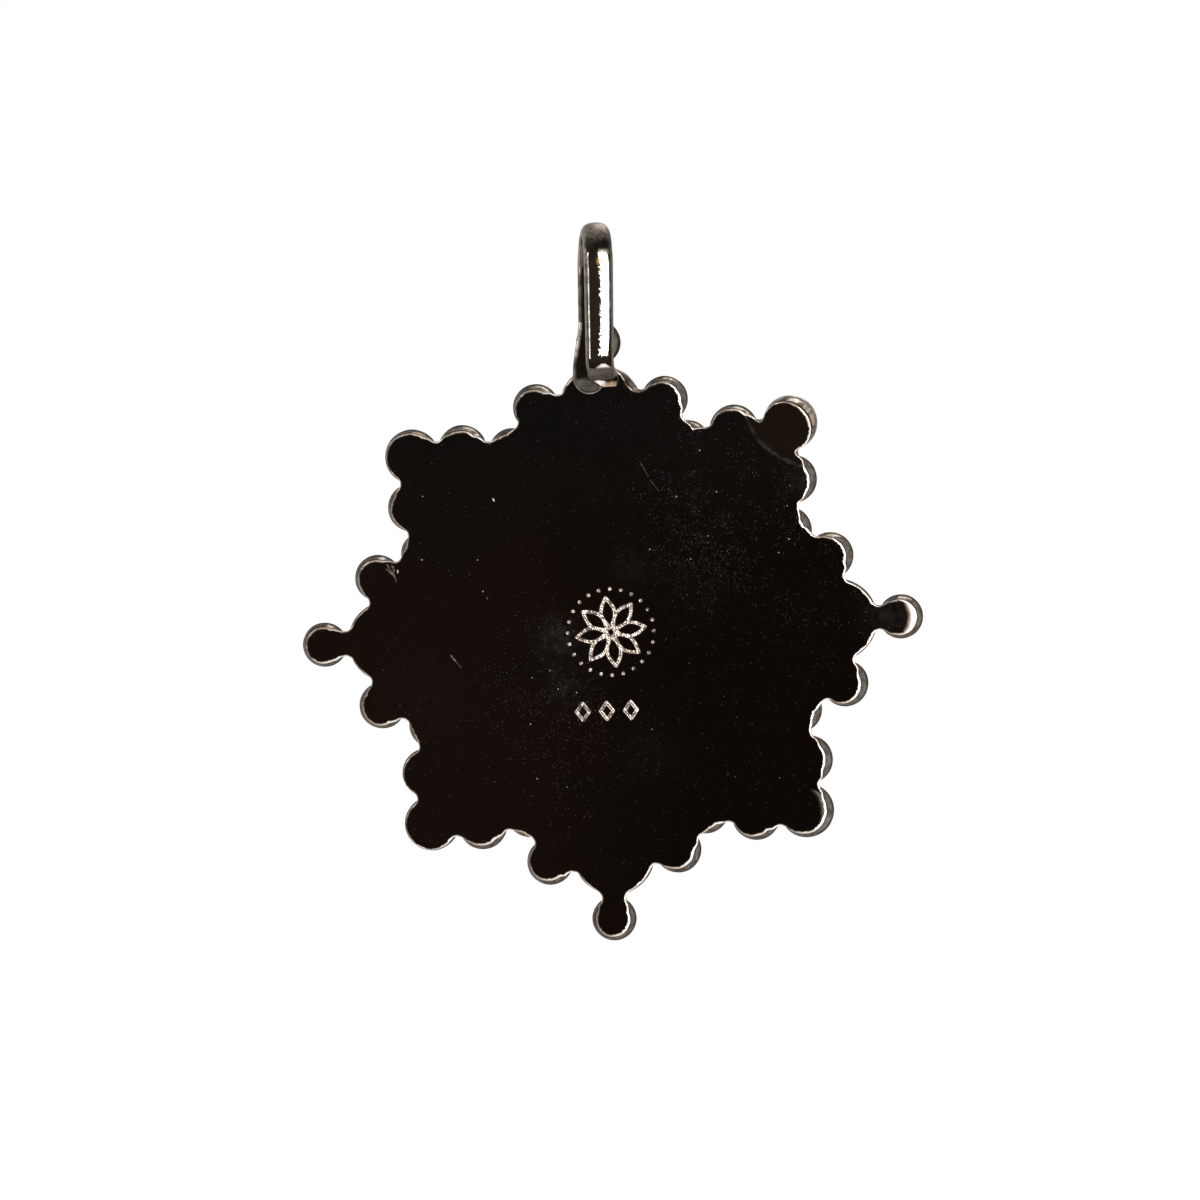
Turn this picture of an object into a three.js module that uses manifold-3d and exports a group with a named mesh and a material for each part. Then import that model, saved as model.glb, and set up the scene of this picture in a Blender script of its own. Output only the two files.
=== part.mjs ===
// Eight-pointed medal pendant: a flat plate edged with soldered half-round beads, a round medal in a
// bezel on its front, and a strap bail on the back of its top arm.
// Millimetres, +Z up. The pendant hangs: the plate stands upright, its flat back faces -Y and its
// decorated front faces +Y. The origin is where a chain bears on the top of the bail's opening.

import * as THREE from 'three';
import { mergeVertices } from 'three/addons/utils/BufferGeometryUtils.js';
import Module from 'manifold-3d';

const wasm = await Module();
wasm.setup();

// Plate
const plateThickness = 1.15;
const edgeRoundRadius = 1.85;    // rounding of the plate's edge towards its back
const filletRadius = 0.5;        // hollow corner between two neighbouring lobes
const neckFilletRadius = 0.6;    // hollow corner at the neck of a tip ball
const filletDip = 0.12;          // least depth of a hollow past the middle of the space between two lobes

// Medal, its bezel and the wire ring round them
const medalRadius = 12.4;
const medalThickness = 1.0;
const medalRelief = 0.35;        // height of the rim, the cross and the roundels above the field
const medalRimWidth = 0.7;
const medalInnerRingRadius = 8.6;
const medalInnerRingWidth = 0.4;
const crossLength = 7.4;         // from the centre to the end of an arm
const crossWaist = 0.85;         // half the width of an arm beside the centre
const crossFlare = 2.3;          // half the width of an arm at its end
const crossFlareStart = 5.2;     // from the centre to where an arm's sides begin to spread
const crossEndHollow = 0.5;      // dip in the end of an arm
const roundelRadius = 1.5;
const roundelReach = 5.6;        // from the medal's centre to a roundel's
const bezelClearance = 0.15;
const bezelWall = 0.4;
const bezelLip = 0.45;           // height of the bezel above the medal's field
const bezelChamfer = 0.13;
const ropeClearance = 0.1;
const ropeWireRadius = 0.45;

// Lobes round the edge. A dome stands on each, on the front face of the plate.
const tipBallRadius = 1.74;
const tipBallHeight = 1.5;
const tipBallGaps = { east: 0.16, north: 0.1, west: 0.16, south: 0.2 };    // to the boss at its root
const armBossRadius = 3.25;
const armBossHeight = 2.2;
const armBossGap = 0.8;          // to the rope ring
const armBeadRadius = 1.82;
const armBeadHeight = 1.5;
const armBeadGap = 0.1;          // to the boss
const cornerBossRadius = 1.6;
const cornerBossHeight = 1.2;
const cornerBossGap = 0.25;      // to the rope ring
const cornerBeadRadius = 1.9;
const cornerBeadHeight = 1.55;
const cornerBeadSpread = 1.2;  // half the space between the two beads of a corner
const cornerBeadGap = 0.68;       // to the small boss inside the corner
const cornerBallRadius = 2.14;
const cornerBallHeight = 1.9;
const cornerBallGaps = { ne: 0.52, nw: 0.05, sw: 0.07, se: 0.05 };    // to the two beads beside it
const pocketBeadRadius = 1.85;   // at most: it is smaller where its pocket is narrow
const pocketBeadHeight = 1.35;
const pocketBeadGap = 0.2;       // to the beads beside it
const pocketRingGap = 0.42;      // to the rope ring

// Directions of the arms and the corners as the pendant was made, in degrees from +X towards +Z
const armNames = ['east', 'north', 'west', 'south'];
const armAngles = [-0.3, 90, 179.9, 267.3];
const cornerNames = ['ne', 'nw', 'sw', 'se'];
const cornerAngles = [46.4, 136.1, 223.9, 314.1];

// How much further out than its boss each side bead of an arm was set by hand, first and second side
const armBeadLeads = { east: [1.15, 0.47], north: [1.0, 0.9], west: [1.3, 1.47], south: [1.3, 0.41] };
// How much further out than its gap to the rope ring each pocket bead was set, in order from the east arm
const pocketBeadLeads = [0, 0.1, 0.2, 0.35, 0.3, 0.3, 0.1, 0];

// The upper corner on the +X side is bent towards the back, across the neck of its ball
const bentCorner = 'ne';
const bendAngle = 16;
const creaseInset = 0.2;         // from the inner edge of the ball to the crease
const seatClearance = 0.02;      // under the dome on the bent corner

// Bail: a strap that rises from a foot on the plate's back, turns over and comes down behind
const strapWidth = 2.3;
const strapThickness = 0.8;
const strapBevel = 0.25;
const bailOpeningDepth = 4.9;
const bailRise = 13.62;          // from the lip of the foot to the top of the strap
const footWidth = 2.6;
const footThickness = 0.6;
const footEdgeThickness = 0.36;  // at the lip
const footLap = 0.75;            // how far past the centre of the top boss the lip of the foot lies
const bailOffset = -0.21;        // of the leg on the plate, where it clears the top ball
const footOffset = -0.74;
const tipOffset = 0.66;
const bailTwist = 7;             // turn of the loop about the vertical, in degrees
const bailLean = 2.3;            // lean of the loop to the +X side, in degrees
const tipWidth = 2.05;
const bendRise = 3.3;            // from the foot's lip to where the near leg turns in to the plate
const bendRadius = 1.1;
const bendLean = 68;             // slope of the strap below that bend, in degrees from upright
const tipGap = 0.12;             // between the strap's free end and the foot, filled with solder
const solderRadius = 0.75;

// Fineness of the facets
const arcStep = 0.6;             // along the plate's outline
const leastArcSteps = 3;
const edgeLevels = 3;            // rings that draw the plate's rounded edge
const domeStep = 0.9;            // along a dome
const ringSegments = 48;
const ropeSides = 8;
const roundelSegments = 16;
const crossCurveSegments = 6;
const footSteps = 4;
const archSteps = 10;
const bendSteps = 4;
const solderSegments = [10, 8];
const mergeDistance = 1e-4;      // points nearer than this are one point
const radiusTolerance = 1e-6;

const silver = new THREE.MeshStandardMaterial({ color: 0x8f8a84, roughness: 0.28, metalness: 1 });
const darkBack = new THREE.MeshStandardMaterial({ color: 0x120c09, roughness: 0.18, metalness: 0.9 });
const agedSilver = new THREE.MeshStandardMaterial({ color: 0x6f6963, roughness: 0.4, metalness: 1 });

const radians = THREE.MathUtils.degToRad;
const flat = (reach, degrees) =>
  new THREE.Vector2(reach * Math.cos(radians(degrees)), reach * Math.sin(radians(degrees)));

// Angle between two centres, seen from the medal's centre, when they lie a given distance apart
function contactAngle(reachA, reachB, distance) {
  const cosine = (reachA ** 2 + reachB ** 2 - distance ** 2) / (2 * reachA * reachB);
  return THREE.MathUtils.radToDeg(Math.acos(cosine));
}

// Reaches, worked outwards from the medal
const bezelInner = medalRadius + bezelClearance;
const bezelOuter = bezelInner + bezelWall;
const ropeCentre = bezelOuter + ropeClearance + ropeWireRadius;
const ropeOuter = ropeCentre + ropeWireRadius;
const armBossReach = ropeOuter + armBossGap + armBossRadius;
const cornerBossReach = ropeOuter + cornerBossGap + cornerBossRadius;
const cornerBeadSide = cornerBeadRadius + cornerBeadSpread;
const cornerBeadAlong = cornerBossReach
  + Math.sqrt((cornerBossRadius + cornerBeadGap + cornerBeadRadius) ** 2 - cornerBeadSide ** 2);
const cornerBeadReach = Math.hypot(cornerBeadAlong, cornerBeadSide);
const cornerBeadTurn = THREE.MathUtils.radToDeg(Math.atan2(cornerBeadSide, cornerBeadAlong));
const cornerBallReach = (corner) => cornerBeadAlong
  + Math.sqrt((cornerBallRadius + cornerBallGaps[corner] + cornerBeadRadius) ** 2 - cornerBeadSide ** 2);
const creaseReach = cornerBallReach(bentCorner) - cornerBallRadius + creaseInset;
const tipBallReach = (arm) => armBossReach + armBossRadius + tipBallGaps[arm] + tipBallRadius;

// A pocket bead lies between two neighbouring beads and the rope ring, as large as its pocket allows
function pocketBead(name, lead, before, after) {
  const direction = before.centre.clone().add(after.centre).normalize();
  const inner = ropeOuter + pocketRingGap + lead;
  const slackTo = (radius, other) => direction.clone().multiplyScalar(inner + radius)
    .distanceTo(other.centre) - radius - pocketBeadGap - other.radius;
  const slack = (radius) => Math.min(slackTo(radius, before), slackTo(radius, after));
  let low = 0;
  let high = pocketBeadRadius;
  while (high - low > radiusTolerance) {
    const radius = (low + high) / 2;
    if (slack(radius) > 0) low = radius;
    else high = radius;
  }
  const centre = direction.multiplyScalar(inner + low);
  return { name, centre, radius: low, height: pocketBeadHeight };
}

function armLobes(index) {
  const name = armNames[index];
  const angle = armAngles[index];
  const bead = (side, sense, lead) => {
    const reach = armBossReach + lead;
    const turn = contactAngle(armBossReach, reach, armBossRadius + armBeadGap + armBeadRadius);
    return {
      name: `arm_bead_${name}_${side}`,
      centre: flat(reach, angle + sense * turn),
      radius: armBeadRadius,
      height: armBeadHeight,
    };
  };
  const [firstLead, secondLead] = armBeadLeads[name];
  const boss = {
    name: `arm_boss_${name}`,
    centre: flat(armBossReach, angle),
    radius: armBossRadius,
    height: armBossHeight,
  };
  const ball = {
    name: `tip_ball_${name}`,
    centre: flat(tipBallReach(name), angle),
    radius: tipBallRadius,
    height: tipBallHeight,
    neck: true,
  };
  return [bead('a', -1, firstLead), boss, ball, boss, bead('b', 1, secondLead)];
}

function cornerLobes(index) {
  const name = cornerNames[index];
  const angle = cornerAngles[index];
  const bead = (side, turn) => ({
    name: `corner_bead_${name}_${side}`,
    centre: flat(cornerBeadReach, angle + turn),
    radius: cornerBeadRadius,
    height: cornerBeadHeight,
  });
  const ball = {
    name: `corner_ball_${name}`,
    centre: flat(cornerBallReach(name), angle),
    radius: cornerBallRadius,
    height: cornerBallHeight,
    bent: name === bentCorner,
  };
  return [bead('a', -cornerBeadTurn), ball, bead('b', cornerBeadTurn)];
}

// All the lobes in order round the edge, from the -Z side of the first arm
function edgeLobes() {
  const groups = armNames.flatMap((_, index) => [armLobes(index), cornerLobes(index)]);
  return groups.flatMap((group, index) => {
    const next = groups[(index + 1) % groups.length];
    const isArm = index % 2 === 0;
    const arm = armNames[(isArm ? index / 2 : (index + 1) / 2) % armNames.length];
    const corner = cornerNames[Math.floor(index / 2)];
    const name = `pocket_bead_${arm}_${corner}`;
    return [...group, pocketBead(name, pocketBeadLeads[index], group.at(-1), next[0])];
  });
}

// The hollow corner between two lobes: the centre of the circle that touches both from outside
function filletBetween(first, second) {
  const step = second.centre.clone().sub(first.centre);
  const distance = step.length();
  const widest = (distance - first.radius - second.radius) / 2 + filletDip;
  const radius = Math.max(first.neck || second.neck ? neckFilletRadius : filletRadius, widest);
  const reachFirst = first.radius + radius;
  const reachSecond = second.radius + radius;
  const along = (distance ** 2 + reachFirst ** 2 - reachSecond ** 2) / (2 * distance);
  const across = Math.sqrt(reachFirst ** 2 - along ** 2);
  const direction = step.normalize();
  const outward = new THREE.Vector2(direction.y, -direction.x);
  const centre = first.centre.clone().addScaledVector(direction, along).addScaledVector(outward, across);
  return { centre, radius };
}

const fullTurn = 2 * Math.PI;
const directionTo = (from, to) => Math.atan2(to.y - from.y, to.x - from.x);
const turnBetween = (from, to) => (((to - from) % fullTurn) + fullTurn) % fullTurn;

// An arc about a lobe's centre (sense 1, counter-clockwise) or about a hollow's (sense -1, clockwise)
function outlineArc({ centre, radius }, sense, fromPoint, toPoint) {
  const from = directionTo(centre, fromPoint);
  const to = directionTo(centre, toPoint);
  const sweep = sense > 0 ? turnBetween(from, to) : -turnBetween(to, from);
  const steps = Math.max(leastArcSteps, Math.round(radius * Math.abs(sweep) / arcStep));
  return { centre, radius, sense, from, sweep, steps };
}

// The arcs of the plate's outline in order: each lobe, then the hollow after it
function outlineArcs(lobes) {
  const hollows = lobes.map((lobe, index) => filletBetween(lobe, lobes[(index + 1) % lobes.length]));
  return lobes.flatMap((lobe, index) => {
    const before = hollows[(index + hollows.length - 1) % hollows.length];
    const after = hollows[index];
    const next = lobes[(index + 1) % lobes.length];
    return [
      outlineArc(lobe, 1, before.centre, after.centre),
      outlineArc(after, -1, lobe.centre, next.centre),
    ];
  });
}

// The outline drawn in by an inset: lobes shrink and hollows grow about the same centres
function insetOutline(arcs, inset) {
  return arcs.flatMap(({ centre, radius, sense, from, sweep, steps }) => {
    const reach = radius - sense * inset;
    return Array.from({ length: steps }, (_, index) => {
      const angle = from + sweep * (index + 0.5) / steps;
      return new THREE.Vector2(centre.x + reach * Math.cos(angle), centre.y + reach * Math.sin(angle));
    });
  });
}

// A closed solid through rings of points, each ring in order, with flat or fanned ends
function loft(rings, startFaces, endFaces) {
  const count = rings[0].length;
  const positions = rings.flat().flatMap((point) => [point.x, point.y, point.z]);
  const faces = [];
  for (let ring = 0; ring + 1 < rings.length; ring += 1) {
    for (let index = 0; index < count; index += 1) {
      const a = ring * count + index;
      const b = ring * count + (index + 1) % count;
      faces.push(a, b, b + count, a, b + count, a + count);
    }
  }
  const last = (rings.length - 1) * count;
  startFaces.forEach(([a, b, c]) => faces.push(a, c, b));
  endFaces.forEach(([a, b, c]) => faces.push(last + a, last + b, last + c));
  const geometry = new THREE.BufferGeometry();
  geometry.setAttribute('position', new THREE.Float32BufferAttribute(positions, 3));
  geometry.setIndex(faces);
  return geometry;
}

// A profile turned about Y; a profile off the axis closes on itself
const turned = (points, segments) =>
  new THREE.LatheGeometry(points.map(([radius, height]) => new THREE.Vector2(radius, height)), segments);

function toSolid(geometry) {
  const plain = geometry.clone();
  plain.deleteAttribute('normal');
  plain.deleteAttribute('uv');
  const merged = mergeVertices(plain, mergeDistance);
  return new wasm.Manifold(new wasm.Mesh({
    numProp: 3,
    vertProperties: new Float32Array(merged.attributes.position.array),
    triVerts: new Uint32Array(merged.index.array),
  }));
}

function toGeometry(solid) {
  const mesh = solid.getMesh();
  const geometry = new THREE.BufferGeometry();
  geometry.setAttribute('position', new THREE.BufferAttribute(new Float32Array(mesh.vertProperties), 3));
  geometry.setIndex(new THREE.BufferAttribute(new Uint32Array(mesh.triVerts), 1));
  return geometry;
}

// The turn that bends the corner: about the crease, where it crosses the plate's front face
function bendMatrix() {
  const angle = radians(cornerAngles[cornerNames.indexOf(bentCorner)]);
  const outward = new THREE.Vector3(Math.cos(angle), 0, Math.sin(angle));
  const crease = new THREE.Vector3(-outward.z, 0, outward.x);
  const pivot = outward.clone().multiplyScalar(creaseReach).setY(plateThickness);
  return new THREE.Matrix4().makeTranslation(pivot)
    .multiply(new THREE.Matrix4().makeRotationAxis(crease, -radians(bendAngle)))
    .multiply(new THREE.Matrix4().makeTranslation(pivot.clone().negate()));
}

// A block that covers everything outside the crease of the bent corner
function bentSide() {
  const size = 4 * cornerBallRadius;
  const angle = radians(cornerAngles[cornerNames.indexOf(bentCorner)]);
  return new THREE.BoxGeometry(size, size, size)
    .translate(creaseReach + size / 2, 0, 0)
    .rotateY(-angle);
}

function plateGeometry(lobes) {
  const arcs = outlineArcs(lobes);
  const sweep = Math.asin(plateThickness / edgeRoundRadius);
  const rings = Array.from({ length: edgeLevels }, (_, level) => {
    const angle = sweep * (1 - level / (edgeLevels - 1));
    const height = plateThickness - edgeRoundRadius * Math.sin(angle);
    const inset = edgeRoundRadius * (1 - Math.cos(angle));
    return insetOutline(arcs, inset).map(({ x, y }) => new THREE.Vector3(x, height, y)).reverse();
  });
  const flattened = (ring) => ring.map(({ x, z }) => new THREE.Vector2(x, -z));
  const capOf = (ring) => THREE.ShapeUtils.triangulateShape(flattened(ring), []);
  const blank = toSolid(loft(rings, capOf(rings[0]), capOf(rings.at(-1))));
  const outside = toSolid(bentSide());
  const tab = toSolid(toGeometry(blank.intersect(outside)).applyMatrix4(bendMatrix()));
  return toGeometry(blank.subtract(outside).add(tab));
}

// A dome on the plate's front face, round or flattened
function domeGeometry(lobe) {
  const segments = Math.round(fullTurn * lobe.radius / domeStep);
  const rings = Math.round(segments / 4);
  const arc = Array.from({ length: rings + 1 }, (_, index) => {
    const angle = (Math.PI / 2) * (index / rings);
    return [index === rings ? 0 : lobe.radius * Math.cos(angle), lobe.height * Math.sin(angle)];
  });
  const geometry = turned([[0, 0], ...arc], segments);
  const lift = lobe.bent ? seatClearance : 0;
  geometry.translate(lobe.centre.x, plateThickness + lift, lobe.centre.y);
  return lobe.bent ? geometry.applyMatrix4(bendMatrix()) : geometry;
}

function bezelGeometry() {
  const top = medalThickness + bezelLip;
  const profile = [
    [bezelInner, 0], [bezelOuter, 0], [bezelOuter, top - bezelChamfer], [bezelOuter - bezelChamfer, top],
    [bezelInner, top], [bezelInner, 0],
  ];
  return turned(profile, ringSegments).translate(0, plateThickness, 0);
}

// A round wire with a narrow flat where it sits on the plate
function ropeGeometry() {
  const start = -Math.PI / 2 + Math.PI / ropeSides;
  const profile = Array.from({ length: ropeSides + 1 }, (_, index) => {
    const angle = start + fullTurn * (index % ropeSides) / ropeSides;
    return [ropeCentre + ropeWireRadius * Math.cos(angle), ropeWireRadius * Math.sin(angle)];
  });
  const seat = ropeWireRadius * Math.cos(Math.PI / ropeSides);
  return turned(profile, ringSegments).translate(0, plateThickness + seat, 0);
}

// One arm of a flared cross, pointing along +X: narrow beside the centre, wide at its end
function crossArm() {
  const shape = new THREE.Shape();
  shape.moveTo(0, -crossWaist);
  shape.lineTo(crossWaist, -crossWaist);
  shape.quadraticCurveTo(crossFlareStart, -crossWaist, crossLength, -crossFlare);
  shape.quadraticCurveTo(crossLength - crossEndHollow, 0, crossLength, crossFlare);
  shape.quadraticCurveTo(crossFlareStart, crossWaist, crossWaist, crossWaist);
  shape.lineTo(0, crossWaist);
  return shape;
}

function medalGeometry() {
  const top = medalThickness + medalRelief;
  const ringOuter = medalInnerRingRadius + medalInnerRingWidth / 2;
  const ringInner = medalInnerRingRadius - medalInnerRingWidth / 2;
  const rimInner = medalRadius - medalRimWidth;
  const sunk = medalThickness / 2;
  const raisedHeight = sunk + medalRelief;
  let solid = toSolid(turned([
    [0, 0], [medalRadius, 0], [medalRadius, top], [rimInner, top], [rimInner, medalThickness],
    [ringOuter, medalThickness], [ringOuter, top], [ringInner, top], [ringInner, medalThickness],
    [0, medalThickness],
  ], ringSegments));
  for (let quarter = 0; quarter < 4; quarter += 1) {
    const arm = new THREE.ExtrudeGeometry(crossArm(), {
      depth: raisedHeight,
      bevelEnabled: false,
      curveSegments: crossCurveSegments,
    });
    arm.rotateX(-Math.PI / 2).translate(0, medalThickness - sunk, 0).rotateY(quarter * Math.PI / 2);
    const disc = [[0, 0], [roundelRadius, 0], [roundelRadius, raisedHeight], [0, raisedHeight]];
    const roundel = turned(disc, roundelSegments);
    roundel.translate(roundelReach, medalThickness - sunk, 0).rotateY((quarter + 0.5) * Math.PI / 2);
    solid = solid.add(toSolid(arm)).add(toSolid(roundel));
  }
  return toGeometry(solid).translate(0, plateThickness, 0);
}

// Bail, from values shared with the top arm
const footLip = armBossReach + footLap;
const bailTop = footLip + bailRise;
const loopRadius = bailOpeningDepth / 2 + strapThickness / 2;
const loopCentreHeight = bailTop - strapThickness / 2 - loopRadius;
const farLegDepth = strapThickness / 2;
const nearLegDepth = farLegDepth + 2 * loopRadius;
const plateTop = tipBallReach('north') + tipBallRadius;
const bendHeight = footLip + bendRise;

// A cross-section of the strap: centre depth behind the plate, height, sideways offset, the direction
// in which the strap runs (0 up, 90 away from the plate), its twist about the vertical and its size
function strapSection({ depth, height, offset, run, twist, width, thickness }) {
  const acrossX = Math.cos(radians(twist));
  const acrossY = Math.sin(radians(twist));
  const half = width / 2;
  const rise = thickness / 2;
  const bevel = strapBevel * thickness / strapThickness;
  const outline = [
    [-half + bevel, -rise], [half - bevel, -rise], [half, -rise + bevel], [half, rise - bevel],
    [half - bevel, rise], [-half + bevel, rise], [-half, rise - bevel], [-half, -rise + bevel],
  ];
  const backwards = new THREE.Vector3(acrossY, -acrossX, 0);
  const normal = backwards.clone().multiplyScalar(Math.cos(radians(run)))
    .add(new THREE.Vector3(0, 0, -Math.sin(radians(run))));
  const across = new THREE.Vector3(acrossX, acrossY, 0);
  const centre = new THREE.Vector3(offset, -depth, height);
  return outline.map(([side, up]) =>
    centre.clone().addScaledVector(across, side).addScaledVector(normal, up));
}

// How far sideways the twisted, leaning loop carries the strap at a depth behind the plate
const loopOffset = (depth, height) => bailOffset
  + (depth - farLegDepth) * Math.tan(radians(bailTwist))
  + (height - plateTop) * Math.tan(radians(bailLean));

// The rounded lip of the foot, from its end up to its full width
function footSections() {
  const start = Math.PI / 2 / footSteps;
  return Array.from({ length: footSteps }, (_, index) => {
    const turn = THREE.MathUtils.mapLinear(index, 0, footSteps - 1, start, Math.PI / 2);
    const thickness = THREE.MathUtils.mapLinear(Math.cos(turn), 1, 0, footEdgeThickness, footThickness);
    return {
      depth: thickness / 2,
      height: footLip + footWidth / 2 * (1 - Math.cos(turn)),
      offset: footOffset,
      run: 0,
      twist: 0,
      width: footWidth * Math.sin(turn),
      thickness,
    };
  });
}

function farLegSections() {
  const clearOfPlate = plateTop + strapWidth / 2;
  const middle = (footLip + plateTop) / 2;
  return [
    { height: middle, offset: (footOffset + bailOffset) / 2, twist: 0, width: (footWidth + strapWidth) / 2 },
    { height: plateTop, offset: bailOffset, twist: 0, width: strapWidth },
    {
      height: clearOfPlate, offset: loopOffset(farLegDepth, clearOfPlate), twist: bailTwist / 2,
      width: strapWidth,
    },
  ].map((section) => ({ ...section, depth: farLegDepth, run: 0, thickness: strapThickness }));
}

function archSections() {
  return Array.from({ length: archSteps + 1 }, (_, index) => {
    const turn = Math.PI * index / archSteps;
    const depth = farLegDepth + loopRadius * (1 - Math.cos(turn));
    const height = loopCentreHeight + loopRadius * Math.sin(turn);
    return {
      depth,
      height,
      offset: loopOffset(depth, height),
      run: THREE.MathUtils.radToDeg(turn),
      twist: bailTwist,
      width: strapWidth,
      thickness: strapThickness,
    };
  });
}

// The near leg comes down and turns in to the plate, where its free end stands over the foot
function nearLegSections() {
  const bend = Array.from({ length: bendSteps + 1 }, (_, index) => {
    const turn = radians(bendLean) * index / bendSteps;
    return {
      depth: nearLegDepth - bendRadius * (1 - Math.cos(turn)),
      height: bendHeight - bendRadius * Math.sin(turn),
      run: 180 + THREE.MathUtils.radToDeg(turn),
      width: (strapWidth + tipWidth) / 2,
    };
  });
  const bendEnd = bend.at(-1);
  const tipDepth = footThickness + tipGap + strapThickness / 2;
  const tip = {
    depth: tipDepth,
    height: bendEnd.height - (bendEnd.depth - tipDepth) / Math.tan(radians(bendLean)),
    run: 180 + bendLean,
    width: tipWidth,
  };
  const legOffset = loopOffset(nearLegDepth, bendHeight);
  return [...bend, tip].map((section) => ({
    ...section,
    offset: THREE.MathUtils.mapLinear(section.depth, tipDepth, nearLegDepth, tipOffset, legOffset),
    twist: bailTwist,
    thickness: strapThickness,
  }));
}

function bailGeometry() {
  const stations = [...footSections(), ...farLegSections(), ...archSections(), ...nearLegSections()];
  const rings = stations.map((station) => strapSection(station).reverse());
  const fan = Array.from({ length: rings[0].length - 2 }, (_, index) => [0, index + 1, index + 2]);
  const strap = toSolid(loft(rings, fan, fan));
  const tip = stations.at(-1);
  const solder = new THREE.SphereGeometry(1, ...solderSegments)
    .scale(solderRadius, tip.depth - footThickness / 2, solderRadius)
    .translate((tip.offset + footOffset) / 2 + solderRadius / 2, -tip.depth, tip.height);
  return toGeometry(strap.add(toSolid(solder)));
}

// Assembly
const medalFrame = new THREE.Group();

function add(name, geometry, material) {
  const mesh = new THREE.Mesh(geometry, material);
  mesh.name = name;
  medalFrame.add(mesh);
}

const lobes = edgeLobes();
add('back_plate', plateGeometry(lobes), darkBack);
new Set(lobes).forEach((lobe) => add(lobe.name, domeGeometry(lobe), silver));
cornerNames.forEach((name, index) => add(`corner_boss_${name}`, domeGeometry({
  centre: flat(cornerBossReach, cornerAngles[index]), radius: cornerBossRadius, height: cornerBossHeight,
}), silver));
add('bezel', bezelGeometry(), silver);
add('rope_ring', ropeGeometry(), silver);
add('medal', medalGeometry(), agedSilver);
add('bail', bailGeometry(), agedSilver);

// The chain's seat becomes the origin
const seatDepth = farLegDepth + loopRadius;
const seatHeight = bailTop - strapThickness;
medalFrame.position.set(-loopOffset(seatDepth, seatHeight), seatDepth, -seatHeight);

const pendant = new THREE.Group();
pendant.add(medalFrame);

export default pendant;
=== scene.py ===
"""Looks of an eight-pointed medal pendant: a blackened mirror-polished back, silver beads, a round medal
on the front and a strap bail. Lengths are in millimetres until a piece is made, and angles in radians.
Shapes are drawn in the medal's own frame: the origin is its centre on the plate's flat back, x is to the
right as the back is seen, y runs from the back to the front, and z is up."""

from collections import namedtuple
import math
from random import Random

import bmesh
import bpy
import numpy as np
from mathutils import Matrix, Vector, noise
from mathutils.geometry import delaunay_2d_cdt
from mathutils.kdtree import KDTree

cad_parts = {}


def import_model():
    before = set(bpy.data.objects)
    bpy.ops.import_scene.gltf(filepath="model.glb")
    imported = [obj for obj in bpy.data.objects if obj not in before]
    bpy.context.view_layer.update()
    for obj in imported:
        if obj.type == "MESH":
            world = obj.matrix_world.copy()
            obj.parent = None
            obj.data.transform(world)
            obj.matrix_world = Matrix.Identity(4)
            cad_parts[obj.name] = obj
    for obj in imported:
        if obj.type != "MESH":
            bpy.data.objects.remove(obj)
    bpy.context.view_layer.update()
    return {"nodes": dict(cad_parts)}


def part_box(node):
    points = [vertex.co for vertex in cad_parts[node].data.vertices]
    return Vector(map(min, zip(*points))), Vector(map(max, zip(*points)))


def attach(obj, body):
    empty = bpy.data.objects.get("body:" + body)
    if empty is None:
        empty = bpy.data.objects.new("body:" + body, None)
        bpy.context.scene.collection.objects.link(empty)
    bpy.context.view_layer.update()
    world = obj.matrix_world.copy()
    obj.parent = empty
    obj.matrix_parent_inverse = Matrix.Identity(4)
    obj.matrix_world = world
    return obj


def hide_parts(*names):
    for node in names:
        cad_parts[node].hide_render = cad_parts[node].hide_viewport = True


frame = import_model()

MM = 0.001
FULL_TURN = 2 * math.pi

# Plate
PLATE_THICKNESS = 1.15
FILLET_RADIUS = 0.5          # hollow corner between two lobes
NECK_FILLET_RADIUS = 0.6
FILLET_DIP = 0.12
OUTLINE_STEP = 0.12
SEAM_INSET = 0.05            # of the plate's front edge from the outline of the solids
SLOPE_HEIGHT = 0.38          # of the round slope's lower edge over the back
SLOPE_STEPS = 6
RIM_ROUGHNESS = 0.045

# The rim is the slope between a lobe's ground flat and its outline. Its width is a base, more on the side
# away from the medal, and more to the right and the top, because the back was ground a little askew.
USUAL_RIM = (0.34, 0.125, (0.17, 0.03))  # base, outward part and askew part
RIM_LEAST = 0.09
RIM_AT_HOLLOW = 0.11
RIM_AT_BOSS = 0.13
FULL_RIM = 0.3               # a rim this wide has its groove and bright line at their given widths
RIM_TAPER = 0.55             # length over which a rim narrows towards the hollow beside it
POCKET_TAPER = 0.2
ODD_RIMS = {                 # lobes whose rim has parts of its own
    "corner_ball_ne": (0.03, 0.0, (0.27, 0.20)),
    "corner_bead_ne_b": (0.24, 0.12, (0.12, 0.0)),
    "corner_ball_nw": (0.24, 0.10, (0.16, 0.0)),
    "tip_ball_east": (0.36, 0.0, (0.16, 0.02)),
    "tip_ball_south": (0.42, 0.0, (0.08, 0.0)),
    "corner_ball_sw": (0.13, 0.03, (0.03, 0.03)),
    "corner_bead_sw_a": (0.10, 0.03, (0.02, 0.02)),
}
BEND_ANGLE = math.radians(16)
CREASE_ROUND = 0.35
CREASE_BOW = 0.09            # how fast the crease curves outwards, per millimetre

# Domes
DOME_BULGE = 0.04
DOME_BULGE_HEIGHT = 0.25
DOME_STEPS = 13
DOME_SEGMENTS = 56
NORTH_BALL_ASIDE = 0.1       # the bail's leg just hides this ball's left side

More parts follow.
